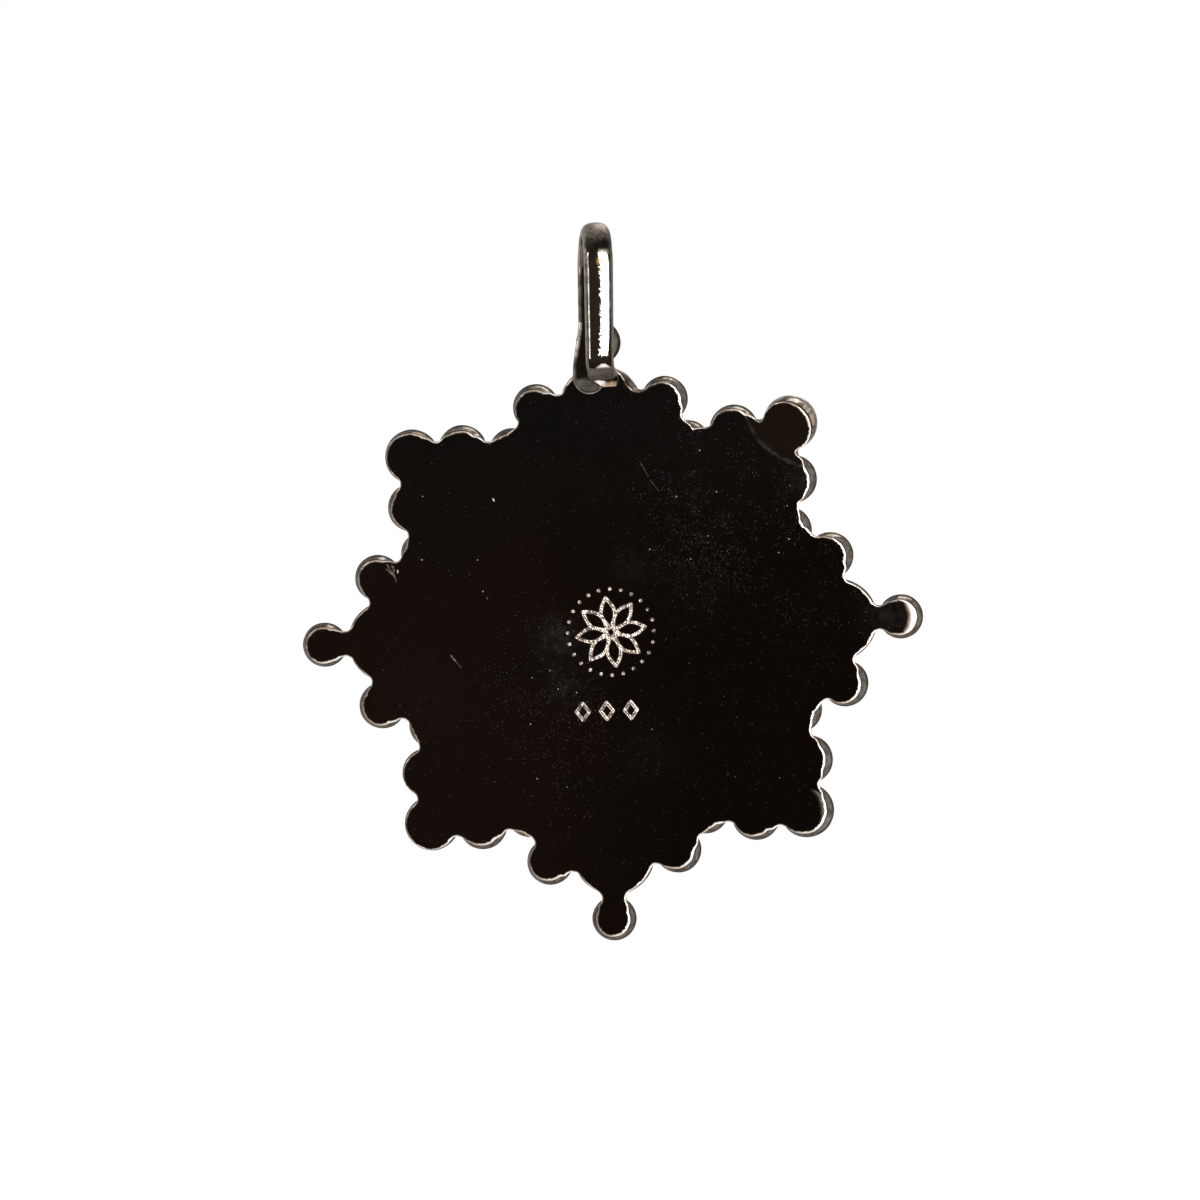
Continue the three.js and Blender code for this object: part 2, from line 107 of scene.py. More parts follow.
# Bail, in the row frame
STRAP_WIDTH = 2.3
STRAP_THICKNESS = 0.8
STRAP_CROWN = 0.06
ARCH_CROWN = 0.26
LEG_ROUND = (0.2, 0.42)      # rounding of the outer corners on the legs, left and right
ARCH_ROUND = 0.66            # and over the arch
STRAP_BEVEL = 0.15           # of the inner corners
FACE_STEPS = 34
INNER_STEPS = 10
ROUND_STEPS = 7
LOOP_RADIUS = 2.85
BAIL_TWIST = math.radians(7)
BAIL_LEAN = math.radians(2.3)
FOOT_WIDTH = 2.6
FOOT_THICKNESS = 0.6
FOOT_EDGE = 0.3
FOOT_LAP = 1.0
FOOT_OFFSET = -1.15          # of the foot's middle, to one side of the chain's seat
TIP_OFFSET = 0.15
TIP_WIDTH = 2.1
TIP_CUT = 0.5                # the lip's left corner is cut off by this height
TIP_GAP = 0.12
BEND_RISE = 2.78
BEND_RADIUS = 1.1
BEND_LEAN = math.radians(86)
LIP_RADIUS = 0.45
LIP_LEAN = math.radians(10)
LIP_LENGTH = 0.48
TIP_ROUNDING = 0.1           # taken off the last section's width and thickness

# Photograph: where the medal's centre lies in it, and the size of a pixel there
PHOTO_SIDE = 1200
PHOTO_SCALE = 0.0801
MEDAL_PIXEL = (612.16, 630.61)
CAMERA_DISTANCE = 600
CAMERA_AZIMUTH = math.radians(-1.8)
CAMERA_ELEVATION = math.radians(1.8)
CAMERA_ROLL = math.radians(-3.08)
SENSOR_WIDTH = 36

ARMS = ["east", "north", "west", "south"]
CORNERS = ["ne", "nw", "sw", "se"]
BENT_BALL = "corner_ball_ne"
BRIGHT_SEAMS = (BENT_BALL, "arm_boss_north")

# Places taken from the frame
MEDAL_LOW, MEDAL_HIGH = (np.array(corner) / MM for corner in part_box("medal"))
MEDAL_ORIGIN = np.array([
    (MEDAL_LOW[0] + MEDAL_HIGH[0]) / 2,
    MEDAL_LOW[1] - PLATE_THICKNESS,
    (MEDAL_LOW[2] + MEDAL_HIGH[2]) / 2,
])
MEDAL_RADIUS = MEDAL_HIGH[0] - MEDAL_ORIGIN[0]
FRONT_NORMAL = np.array([0.0, 1.0, 0.0])


def node_points(name):
    """The corners of a CAD node, each once, in the medal's frame."""
    points = np.array([vertex.co for vertex in frame["nodes"][name].data.vertices], float) / MM
    return np.unique(points.round(3), axis=0) - MEDAL_ORIGIN


def seat_of(name, normal=FRONT_NORMAL):
    """Centre, radius and height of a dome, from the flat underside of its node."""
    points = node_points(name)
    heights = points @ normal
    under = points[heights < heights.min() + 0.02]
    centre = under.mean(axis=0)
    radius = np.linalg.norm(under - centre, axis=1).max()
    return centre, radius, heights.max() - heights.min()


def flat_point(point):
    return np.array([point[0], point[2]])


def bent_corner():
    """Direction, front normal and crease distance of the corner that is bent back."""
    beads = [flat_point(seat_of(f"corner_bead_ne_{side}")[0]) for side in "ab"]
    outward = beads[0] + beads[1]
    outward /= np.linalg.norm(outward)
    normal = np.array([
        outward[0] * math.sin(BEND_ANGLE), math.cos(BEND_ANGLE), outward[1] * math.sin(BEND_ANGLE),
    ])
    centre = seat_of(BENT_BALL, normal)[0]
    drop = PLATE_THICKNESS - centre[1]
    crease = flat_point(centre) @ outward - drop / math.tan(BEND_ANGLE)
    reach = crease + drop / math.sin(BEND_ANGLE)
    return outward, normal, crease, reach


CORNER_OUTWARD, BENT_NORMAL, CREASE_REACH, BENT_REACH = bent_corner()


def lobe_names():
    """The nodes whose round outlines make the plate's edge, in order."""
    names = []
    for index, (arm, corner) in enumerate(zip(ARMS, CORNERS)):
        following = ARMS[(index + 1) % len(ARMS)]
        names += [
            f"arm_bead_{arm}_a", f"arm_boss_{arm}", f"tip_ball_{arm}", f"arm_boss_{arm}",
            f"arm_bead_{arm}_b", f"pocket_bead_{arm}_{corner}", f"corner_bead_{corner}_a",
            f"corner_ball_{corner}", f"corner_bead_{corner}_b", f"pocket_bead_{following}_{corner}",
        ]
    return names


def lobe_circle(name):
    """Flat centre and radius of a lobe, with the bent corner laid flat."""
    if name == BENT_BALL:
        return CORNER_OUTWARD * BENT_REACH, seat_of(name, BENT_NORMAL)[1]
    centre, radius, _ = seat_of(name)
    return flat_point(centre), radius


# The photograph's view
def direction_at(azimuth, elevation):
    """The direction from the medal to a place. Azimuth is 0 out of the back, and grows to the right."""
    level = math.cos(elevation)
    return Vector((math.sin(azimuth) * level, -math.cos(azimuth) * level, math.sin(elevation)))


def camera_axes():
    """The camera's directions: forwards, right and up."""
    forwards = -direction_at(-CAMERA_AZIMUTH, CAMERA_ELEVATION)
    level = forwards.cross(Vector((0, 0, 1))).normalized()
    upright = level.cross(forwards)
    right = level * math.cos(CAMERA_ROLL) + upright * math.sin(CAMERA_ROLL)
    up = upright * math.cos(CAMERA_ROLL) - level * math.sin(CAMERA_ROLL)
    return forwards, right, up


def plate_point(pixel):
    """The place on the plate's back that a pixel of the photograph shows."""
    across = (pixel[0] - MEDAL_PIXEL[0]) * PHOTO_SCALE
    upwards = (MEDAL_PIXEL[1] - pixel[1]) * PHOTO_SCALE
    return np.array([
        across * math.cos(CAMERA_ROLL) - upwards * math.sin(CAMERA_ROLL),
        across * math.sin(CAMERA_ROLL) + upwards * math.cos(CAMERA_ROLL),
    ])


# Mesh helpers
def smooth_step(low, high, values):
    share = np.clip((np.asarray(values, float) - low) / (high - low), 0, 1)
    return share * share * (3 - 2 * share)


def plateau(start, full, last, end, values):
    """1 from full to last, and 0 before start and after end."""
    return smooth_step(start, full, values) * smooth_step(end, last, values)


def between(first, second, share):
    return first + (second - first) * share


def towards(turn):
    """The flat direction at an angle from the right."""
    return np.array([math.cos(turn), math.sin(turn)])


def rough(points, size, seed):
    """Smooth noise from -1 to 1 at flat or solid points, with bumps of about the given size."""
    padded = np.zeros((len(points), 3))
    padded[:, :points.shape[1]] = points
    padded = padded / size + seed * 17.3
    return np.array([noise.noise(Vector(point)) for point in padded])


def band_faces(rings, size, first=0, closed=False):
    """Quads between neighbouring rings of points, each ring closed on itself."""
    faces = []
    for ring in range(rings if closed else rings - 1):
        here = first + ring * size
        there = first + (ring + 1) % rings * size
        for index in range(size):
            following = (index + 1) % size
            faces.append((here + index, here + following, there + following, there + index))
    return faces


def fan_faces(centre, first, size):
    return [(centre, first + index, first + (index + 1) % size) for index in range(size)]


def new_piece(name, points, faces, material, nodes, attributes, sharp_angle=None):
    """A smooth mesh from points in the medal's frame, which stands for its CAD nodes."""
    mesh = bpy.data.meshes.new(name)
    placed = (np.asarray(points, float) + MEDAL_ORIGIN) * MM
    mesh.from_pydata(placed.tolist(), [], faces)
    for key, values in attributes.items():
        data = mesh.attributes.new(key, "FLOAT", "POINT").data
        data.foreach_set("value", np.asarray(values, np.float32))
    shell = bmesh.new()
    shell.from_mesh(mesh)
    bmesh.ops.recalc_face_normals(shell, faces=shell.faces)
    shell.to_mesh(mesh)
    shell.free()
    mesh.polygons.foreach_set("use_smooth", [True] * len(mesh.polygons))
    if sharp_angle is not None:
        mesh.set_sharp_from_angle(angle=sharp_angle)
    mesh.materials.append(material)
    piece = linked(name, mesh)
    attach(piece, "root")
    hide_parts(*nodes)


def linked(name, data):
    """A new object in the scene."""
    item = bpy.data.objects.new(name, data)
    bpy.context.scene.collection.objects.link(item)
    return item


def turned(profile, segments):
    """Rings of a profile turned about y, with one point where the profile meets the axis."""
    points, faces, starts = [], [], []
    for radius, height in profile:
        starts.append(len(points))
        for index in range(segments if radius else 1):
            angle = FULL_TURN * index / segments
            points.append((radius * math.cos(angle), height, radius * math.sin(angle)))
    for ring, (start, end) in enumerate(zip(starts, starts[1:])):
        for index in range(segments):
            following = (index + 1) % segments
            if profile[ring][0] == 0:
                faces.append((start, end + index, end + following))
            elif profile[ring + 1][0] == 0:
                faces.append((end, start + index, start + following))
            else:
                faces.append((start + index, start + following, end + following, end + index))
    return np.array(points), faces


# Materials
class Shader:
    """The node tree of a material or of the world, with short calls to add its nodes."""

    def __init__(self, owner):
        owner.use_nodes = True
        self.owner = owner
        self.tree = owner.node_tree
        self.tree.nodes.clear()

    def add(self, kind, inputs=None, **settings):
        node = self.tree.nodes.new(kind)
        for key, value in settings.items():
            setattr(node, key, value)
        for key, value in (inputs or {}).items():
            if isinstance(value, bpy.types.NodeSocket):
                self.tree.links.new(value, node.inputs[key])
            else:
                node.inputs[key].default_value = value
        return node

    def math(self, operation, first, second):
        return self.add("ShaderNodeMath", {0: first, 1: second}, operation=operation).outputs[0]

    def times(self, first, second):
        return self.math("MULTIPLY", first, second)

    def remap(self, value, low, high, to_low=0.0, to_high=1.0, smooth=False):
        kind = "SMOOTHSTEP" if smooth else "LINEAR"
        inputs = {"Value": value, "From Min": low, "From Max": high, "To Min": to_low, "To Max": to_high}
        return self.add("ShaderNodeMapRange", inputs, interpolation_type=kind).outputs[0]

    def mix(self, share, first, second):
        return self.add("ShaderNodeMix", {0: share, 6: first, 7: second}, data_type="RGBA").outputs[2]

    def layer(self, color, tone, value, start, full):
        """A colour that a tone covers where a value rises from start to full."""
        return self.mix(self.remap(value, start, full, smooth=True), color, tone)

    def attribute(self, name):
        return self.add("ShaderNodeAttribute", attribute_name=name).outputs["Fac"]

    def position(self, stretch=(1, 1, 1)):
        """Object coordinates in millimetres, stretched along each axis."""
        coordinates = self.add("ShaderNodeTexCoord").outputs["Object"]
        scale = [factor / MM for factor in stretch]
        return self.add("ShaderNodeMapping", {"Vector": coordinates, "Scale": scale}).outputs[0]

    def noise(self, scale, detail=3.0, roughness=0.5, stretch=(1, 1, 1)):
        inputs = {"Vector": self.position(stretch), "Scale": scale, "Detail": detail, "Roughness": roughness}
        return self.add("ShaderNodeTexNoise", inputs).outputs["Fac"]

    def bump(self, height, distance, normal=None):
        inputs = {"Height": height, "Distance": distance * MM}
        if normal is not None:
            inputs["Normal"] = normal
        return self.add("ShaderNodeBump", inputs).outputs[0]

    def metal(self, color, roughness, normal, edge_tint):
        """Ends the tree with a metal, and gives its material."""
        surface = self.add("ShaderNodeBsdfPrincipled", {
            "Base Color": color, "Roughness": roughness, "Metallic": 1.0, "Normal": normal,
            "Specular Tint": (edge_tint, edge_tint * 0.96, edge_tint * 0.92, 1),
        })
        self.add("ShaderNodeOutputMaterial", {"Surface": surface.outputs[0]})
        return self.owner


def new_shader(name):
    return Shader(bpy.data.materials.new(name))


def dust_specks(shader, scale, density, size):
    """Pale specks of uneven brightness in random cells, with a share of the cells given by density."""
    cells = shader.add("ShaderNodeTexVoronoi", {"Vector": shader.position(), "Scale": scale})
    chosen = shader.add("ShaderNodeSeparateColor", {"Color": cells.outputs["Color"]})
    present = shader.math("LESS_THAN", chosen.outputs["Red"], density)
    dot = shader.remap(cells.outputs["Distance"], size * 0.6, size * 1.7, 1.0, 0.0, smooth=True)
    bright = shader.times(shader.math("POWER", chosen.outputs["Green"], 6), 2.6)
    return shader.times(shader.times(present, dot), bright)


def back_specks(shader):
    """The dust on the back, fine and coarse, in drifts."""
    drifts = shader.remap(shader.noise(0.8, 4.0), 0.40, 0.62, 0.1, 2.0)
    density = shader.times(shader.attribute("dust"), drifts)
    fine = dust_specks(shader, 7.5, density, 0.28)
    coarse = dust_specks(shader, 3.4, shader.times(density, 0.12), 0.12)
    return shader.math("MAXIMUM", fine, coarse)


def back_black_and_reflections(shader):
    """The near black of the polish, with a painted reflection that is warmer to the lower left, darker to
    the right and greyer at the top. It is browner on the bent tab, and has painted grey sheen and faint
    lines.
    """
    left_tone, right_tone = (0.0088, 0.0046, 0.0033, 1), (0.0040, 0.0023, 0.0016, 1)
    black = shader.mix(shader.attribute("to_right"), left_tone, right_tone)
    black = shader.mix(shader.attribute("to_top"), black, (0.0056, 0.0046, 0.0036, 1))
    broad = shader.remap(shader.noise(0.12, 2.0), 0.35, 0.65)
    black = shader.mix(shader.times(broad, 0.35), black, (0.0044, 0.0038, 0.0033, 1))
    black = shader.mix(shader.attribute("tab"), black, (0.0100, 0.0058, 0.0036, 1))
    painted_sheen = shader.times(shader.attribute("painted_sheen"), shader.remap(shader.noise(1.6), 0.3, 0.7))
    black = shader.mix(painted_sheen, black, (0.032, 0.028, 0.025, 1))
    lines = shader.noise(0.9, 4.0, 0.6, stretch=(7, 1, 0.6))
    return shader.mix(shader.remap(lines, 0.60, 0.78, 0, 0.4), black, (0.011, 0.008, 0.006, 1))


def blackened_back():
    """Blackened mirror polish. Where wear is low it is near black, then brown, grey and bare silver, and
    it has dust and fine scratches. The wear values also carry painted highlights on the rims and crescents."""
    shader = new_shader("blackened_mirror")
    wear_and_painted_light = shader.attribute("wear_and_painted_light")
    specks = back_specks(shader)
    black = shader.mix(shader.times(specks, 0.7), back_black_and_reflections(shader), (0.56, 0.54, 0.50, 1))
    tarnish = shader.remap(shader.noise(2.2, 4.0, 0.6), 0.36, 0.64)
    grey = shader.mix(tarnish, (0.085, 0.072, 0.062, 1), (0.21, 0.19, 0.17, 1))
    color = shader.layer(black, (0.026, 0.017, 0.011, 1), wear_and_painted_light, 0.02, 0.12)
    color = shader.layer(color, grey, wear_and_painted_light, 0.14, 0.32)
    color = shader.layer(color, (0.56, 0.43, 0.33, 1), wear_and_painted_light, 0.40, 0.70)
    color = shader.layer(color, (0.90, 0.90, 0.89, 1), wear_and_painted_light, 0.64, 0.95)
    roughness = shader.math("ADD", shader.remap(wear_and_painted_light, 0, 1, 0.13, 0.22), shader.times(specks, 0.4))
    dents = shader.bump(shader.noise(0.5, 2.0), 0.012)
    scratches = shader.bump(shader.noise(3.0, 5.0, 0.65, stretch=(6, 1, 0.7)), 0.004, normal=dents)
    return shader.metal(color, roughness, scratches, 0.4)


def aged_silver(name, bright, dark, dirt, roughness, grain=(1, 1, 1), dull=0.15):
    """Polished silver that keeps dark patina where wear is low, with fine file marks along the grain. On the
    bail the wear values also carry painted highlights, reflections and shade. The matt attribute makes
    places dull, and the warm one makes them orange brown, as painted warm fringes round the bail's
    highlights."""
    shader = new_shader(name)
    wear_and_painted_light = shader.attribute("wear_and_painted_light")
    patches = shader.remap(shader.noise(1.7, 5.0, 0.6), 0.3, 0.7, -dirt, dirt)
    worn = shader.remap(shader.math("ADD", wear_and_painted_light, patches), 0.04, 0.9, smooth=True)
    color = shader.mix(worn, (*dark, 1), (*bright, 1))
    stains = shader.remap(shader.noise(0.45, 3.0), 0.45, 0.72, 0, 0.45)
    stained = (bright[0] * 0.62, bright[1] * 0.55, bright[2] * 0.47, 1)
    color = shader.mix(shader.times(stains, worn), color, stained)
    color = shader.layer(color, (0.93, 0.91, 0.88, 1), wear_and_painted_light, 0.86, 1.0)
    color = shader.mix(shader.attribute("warm"), color, (0.42, 0.22, 0.09, 1))
    gloss = shader.math("ADD", shader.remap(worn, 0, 1, roughness + dull, roughness),
                        shader.remap(shader.noise(6.0), 0.3, 0.7, -0.04, 0.06))
    gloss = shader.math("MAXIMUM", gloss, shader.times(shader.attribute("matt"), 0.75))
    marks = shader.bump(shader.noise(3.5, 4.0, 0.6, stretch=grain), 0.010)
    dents = shader.bump(shader.noise(0.9, 2.0), 0.03, normal=marks)
    return shader.metal(color, gloss, dents, 0.6)


# Plate
def outline_arcs():
    """The plate's outline as arcs: every lobe, then the hollow after it. A hollow turns the other way."""
    lobes = [(name, *lobe_circle(name)) for name in lobe_names()]
    hollows = [hollow_between(lobe, lobes[(index + 1) % len(lobes)]) for index, lobe in enumerate(lobes)]
    arcs = []
    for index, (name, centre, radius) in enumerate(lobes):
        before, after = hollows[index - 1], hollows[index]
        following = lobes[(index + 1) % len(lobes)][1]
        arcs.append((name, centre, radius, 1, angle_to(centre, before[0]), angle_to(centre, after[0])))
        arcs.append(("hollow", *after, -1, angle_to(after[0], centre), angle_to(after[0], following)))
    return arcs


def angle_to(start, end):
    return math.atan2(end[1] - start[1], end[0] - start[0])


def hollow_between(first, second):
    """Centre and radius of the circle that touches two lobes from outside."""
    (first_name, start, first_radius), (second_name, end, second_radius) = first, second
    distance = np.linalg.norm(end - start)
    neck = first_name.startswith("tip_ball") or second_name.startswith("tip_ball")
    widest = (distance - first_radius - second_radius) / 2 + FILLET_DIP
    radius = max(NECK_FILLET_RADIUS if neck else FILLET_RADIUS, widest)
    reach = first_radius + radius
    along = (distance ** 2 + reach ** 2 - (second_radius + radius) ** 2) / (2 * distance)
    across = math.sqrt(reach ** 2 - along ** 2)
    forwards = (end - start) / distance
    outward = np.array([forwards[1], -forwards[0]])
    return start + forwards * along + outward * across, radius


def rim_width(name, centre, outward):
    """Width of a lobe's rim on its side that faces outward."""
    if name == "hollow":
        return RIM_AT_HOLLOW
    if name.startswith("arm_boss"):
        return RIM_AT_BOSS
    base, away, askew = ODD_RIMS.get(name, USUAL_RIM)
    from_medal = centre / np.linalg.norm(centre)
    return max(RIM_LEAST, base + away * (outward @ from_medal) + outward @ np.array(askew))


class Outline:
    """Evenly spaced points round the plate, which can be drawn in by any inset."""

    def __init__(self, arcs):
        rows = []
        for name, centre, radius, sense, start, end in arcs:
            sweep = (end - start) * sense % FULL_TURN
            length = radius * sweep
            steps = max(5, round(length / OUTLINE_STEP))
            for index in range(steps):
                share = (index + 0.5) / steps
                angle = start + sense * sweep * share
                full = rim_width(name, centre, towards(angle))
                reach = POCKET_TAPER if name.startswith("pocket") else RIM_TAPER
                taper = float(smooth_step(0, reach, min(share, 1 - share) * length))
                rows.append((*centre, radius, sense, angle, between(RIM_AT_HOLLOW, full, taper)))
        across, upwards, self.radii, self.senses, angles, widths = np.array(rows).T
        self.centres = np.stack([across, upwards], axis=1)
        self.directions = np.stack([np.cos(angles), np.sin(angles)], axis=1)
        self.outward = self.directions * self.senses[:, None]
        self.rims = np.mean([np.roll(widths, shift) for shift in range(-2, 3)], axis=0)
        self.places = self.inset(0)
        self.rims += soft_spots(self.places, [SOLDER_SEAM])
        self.wobble, self.ripple = rough(self.places, 0.8, 1), rough(self.places, 0.22, 2)
        self.size = len(angles)

    def inset(self, amounts):
        reach = self.radii - self.senses * amounts
        return self.centres + self.directions * reach[:, None]


def edge_rings(rims, lines):
    """Inset, height over the back and wear of the rings of the plate's edge, from its front to the flat.
    The edge is a round slope, a dark groove where the bead was soldered on, a wall and a bright bevel, which
    reaches the given width into the flat."""
    narrow = np.clip(rims / FULL_RIM, 0.3, 1.1)
    groove = rims - 0.11 * narrow
    rings = []
    for index in range(SLOPE_STEPS + 1):
        share = 1 - index / SLOPE_STEPS
        inset = between(SEAM_INSET, groove, 1 - math.sin(math.pi / 2 * share))
        height = between(SLOPE_HEIGHT, PLATE_THICKNESS, share)
        rings.append((inset, height, 0.30 + 0.16 * share * (1 - share)))
    rings += [
        (rims - 0.09 * narrow, 0.34, 0.16),
        (rims - 0.065 * narrow, 0.07, 0.12),
        (rims - 0.045 * narrow, 0.03, 0.85),
        (rims + 0.005, 0.006, 1.0),
        (rims + lines, 0.0, 0.8),
        (rims + lines + 0.05, 0.0, 0.12),
        (rims + lines + 0.12, 0.0, 0.0),
    ]
    return rings


def beyond_crease(flat):
    """How far each flat point lies past the bowed crease."""
    across = flat @ np.array([-CORNER_OUTWARD[1], CORNER_OUTWARD[0]])
    return flat @ CORNER_OUTWARD - CREASE_REACH - CREASE_BOW * across ** 2


def bend(flat, height):
    """Solid points of the plate from flat ones at a height, with one corner bent back past its crease."""
    along = flat @ CORNER_OUTWARD
    beyond = beyond_crease(flat)
    start = (beyond + CREASE_ROUND) ** 2 / (4 * CREASE_ROUND)
    past = np.where(beyond > CREASE_ROUND, beyond, np.where(beyond < -CREASE_ROUND, 0, start))
    slope = np.clip((beyond + CREASE_ROUND) / (2 * CREASE_ROUND), 0, 1)
    slope[along < 0] = 0
    past[along < 0] = 0
    behind = PLATE_THICKNESS - height
    draw_in = past * (1 - math.cos(BEND_ANGLE)) + behind * math.sin(BEND_ANGLE) * slope
    flat = flat - np.outer(draw_in, CORNER_OUTWARD)
    return np.stack([flat[:, 0], height - past * math.sin(BEND_ANGLE), flat[:, 1]], axis=1)


def inside_loop(points, loop):
    """Which points lie inside a closed loop, by counting crossings."""
    start, end = loop, np.roll(loop, -1, axis=0)
    found = np.zeros(len(points), bool)
    for first, second in zip(start, end):
        spans = (first[1] > points[:, 1]) != (second[1] > points[:, 1])
        if spans.any():
            rise = second[1] - first[1]
            crossing = first[0] + (points[:, 1] - first[1]) * (second[0] - first[0]) / (rise or 1)
            found ^= spans & (points[:, 0] < crossing)
    return found


def grid(centre, half_width, half_height, spacing):
    xs = np.arange(centre[0] - half_width, centre[0] + half_width, spacing)
    ys = np.arange(centre[1] - half_height, centre[1] + half_height, spacing)
    return np.array([(x, y) for x in xs for y in ys])


def cover(loop, patches, margin):
    """Triangles that cover a loop, finer in the patches. Gives the points, the loop's first."""
    tree = KDTree(len(loop))
    for index, point in enumerate(loop):
        tree.insert((*point, 0), index)
    tree.balance()
    chosen = np.zeros((0, 2))
    for centre, half_width, half_height, spacing in patches:
        aside, above = abs(chosen - centre).T
        kept = chosen[(aside > half_width) | (above > half_height)]
        chosen = np.vstack([kept, grid(centre, half_width, half_height, spacing)])
    chosen = chosen[inside_loop(chosen, loop)]
    chosen = chosen[[tree.find((*point, 0))[2] > margin for point in chosen]]
    points = np.vstack([loop, chosen])
    edges = [(index, (index + 1) % len(loop)) for index in range(len(loop))]
    result = delaunay_2d_cdt([Vector(point) for point in points], edges, [], 1, 1e-7)
    sources = [group[0] for group in result[3]]
    return points, [tuple(sources[index] for index in face) for face in result[2]]


def renumbered(faces, size, ring, inner):
    """Faces of a cover with the numbers of the whole piece, where its loop is a ring of the edge."""
    return [tuple(ring + i if i < size else inner + i - size for i in face) for face in faces]


# Marks on the back
STAMP_PIXEL = (611, 632)
STAMP_TURN = math.radians(6)
PETALS = 8
PETAL_ROOT = 0.35
PETAL_REACH = 2.75
PETAL_HALF_WIDTH = 0.55
STAMP_DOTS = 24
STAMP_DOT_REACH = 3.45
DOT_STRETCH = 1.004          # from one end of a dot, which is a very short stroke, to the other
DIAMOND_PIXELS = [(583, 712), (607, 711), (631, 710)]
DIAMOND_HALF_SIZE = (0.5, 0.68)
STROKE_LINE = 0.05           # width of the bright line along each side of a punched stroke
STROKE_HALF_WIDTH = 0.085    # from the middle of a stroke to that line
STROKE_DEPTH = 0.05
SCRATCH_WIDTH = 0.05
SCRATCH_DEPTH = 0.01
SCRATCHES = [                # both ends in the photograph, and strength
    ((640, 462), (648, 476), 0.24), ((650, 480), (659, 491), 0.22), ((451, 656), (455, 661), 0.5),
    ((455, 661), (461, 668), 0.24), ((493, 499), (494, 501), 1.0), ((421.5, 560), (422, 560), 0.8),
    ((397.5, 570.5), (397.5, 573), 1.0), ((387, 565), (394, 577), 0.42), ((391, 564), (396, 582), 0.30),
    ((386, 569), (391, 574), 0.34), ((393, 567), (394, 571), 0.45), ((487, 598), (487.5, 599), 0.5),
]


def petal_strokes():
    """The two curved sides of every petal of the rosette."""
    centre = plate_point(STAMP_PIXEL)
    strokes = []
    share = np.linspace(0, 1, 15)
    reach = between(PETAL_ROOT, PETAL_REACH, share)
    for petal in range(PETALS):
        turn = STAMP_TURN + FULL_TURN * petal / PETALS
        forwards = towards(turn)
        sideways = np.array([-forwards[1], forwards[0]])
        for side in (-1, 1):
            bow = side * PETAL_HALF_WIDTH * np.sin(math.pi * share)
            strokes.append(centre + np.outer(reach, forwards) + np.outer(bow, sideways))
    return strokes


def punched_strokes():
    """Centre lines of all the punched marks: petals, the ring of dots and the diamonds below."""
    centre = plate_point(STAMP_PIXEL)
    strokes = petal_strokes()
    for dot in range(STAMP_DOTS):
        turn = STAMP_TURN + FULL_TURN * (dot + 0.5) / STAMP_DOTS
        place = centre + STAMP_DOT_REACH * towards(turn)
        strokes.append(np.array([place, place * DOT_STRETCH]))
    half_width, half_height = DIAMOND_HALF_SIZE
    for pixel in DIAMOND_PIXELS:
        middle = plate_point(pixel)
        corners = [(half_width, 0), (0, half_height), (-half_width, 0), (0, -half_height), (half_width, 0)]
        strokes.append(middle + np.array(corners))
    return strokes


def stroke_gap(points, start, end):
    span = end - start
    share = np.clip((points - start) @ span / max(span @ span, 1e-9), 0, 1)
    return np.linalg.norm(points - start - share[:, None] * span, axis=1)


def scratch_strength(points):
    """How strongly each point is marked by the thin scratches, from 0 to 1, uneven along them."""
    strength = np.zeros(len(points))
    for start, end, force in SCRATCHES:
        gap = stroke_gap(points, plate_point(start), plate_point(end))
        strength = np.maximum(strength, force * np.exp(-(gap / SCRATCH_WIDTH) ** 2))
    return strength * (1 + 0.7 * rough(points, 0.2, 7))


def stroke_strength(points, strokes, seed):
    """How strongly each point is marked by punched strokes: dull in the middle, bright along both sides."""
    rng = Random(seed)
    strength = np.zeros(len(points))
    broken = 0.78 + 0.65 * rough(points, 0.16, seed) + 0.25 * rough(points, 0.6, seed + 1)
    for stroke in strokes:
        for start, end in zip(stroke[:-1], stroke[1:]):
            gap = stroke_gap(points, start, end)
            force = rng.uniform(0.7, 1.0)
            sides = force * np.exp(-((gap - STROKE_HALF_WIDTH) / STROKE_LINE) ** 2) * broken
            middle = 0.28 * force * np.exp(-(gap / STROKE_HALF_WIDTH) ** 4)
            strength = np.maximum.reduce([strength, sides, middle])
    return np.clip(strength, 0, 1)


def soft_spots(points, spots):
    """A sum of soft round spots, each with its pixel, radius in millimetres and strength."""
    total = np.zeros(len(points))
    for pixel, radius, strength in spots:
        gap = np.linalg.norm(points - plate_point(pixel), axis=1)
        total += strength * np.exp(-(gap / radius) ** 2)
    return total


DUST_SPOTS = [
    ((688, 525), 3.2, 0.85), ((716, 566), 2.6, 0.65), ((770, 500), 4.5, 0.20), ((560, 700), 4.2, 0.42),
    ((800, 590), 5.0, 0.14), ((560, 640), 2.2, 0.30), ((690, 430), 4.0, 0.12), ((798, 475), 1.3, 0.9),
    ((560, 770), 4.0, 0.16),
]
# Spots of painted grey sheen on the back's mirror: pixel, radius and strength
PAINTED_SHEEN_SPOTS = [
    ((558, 640), 1.5, 0.6), ((566, 690), 1.4, 0.3), ((645, 752), 2.2, 0.12), ((634, 566), 1.6, 0.22),
    ((430, 700), 2.5, 0.08), ((690, 590), 3.0, 0.08), ((888, 612), 1.7, 0.4), ((801, 483), 0.8, 0.6),
]
BASE_DUST = 0.04
# A streak of painted grey sheen lies where the plate starts to bend
STREAK_BEFORE = 0.92         # the soft grey streak lies where the plate starts to bend
STREAK_WIDTH = 0.13
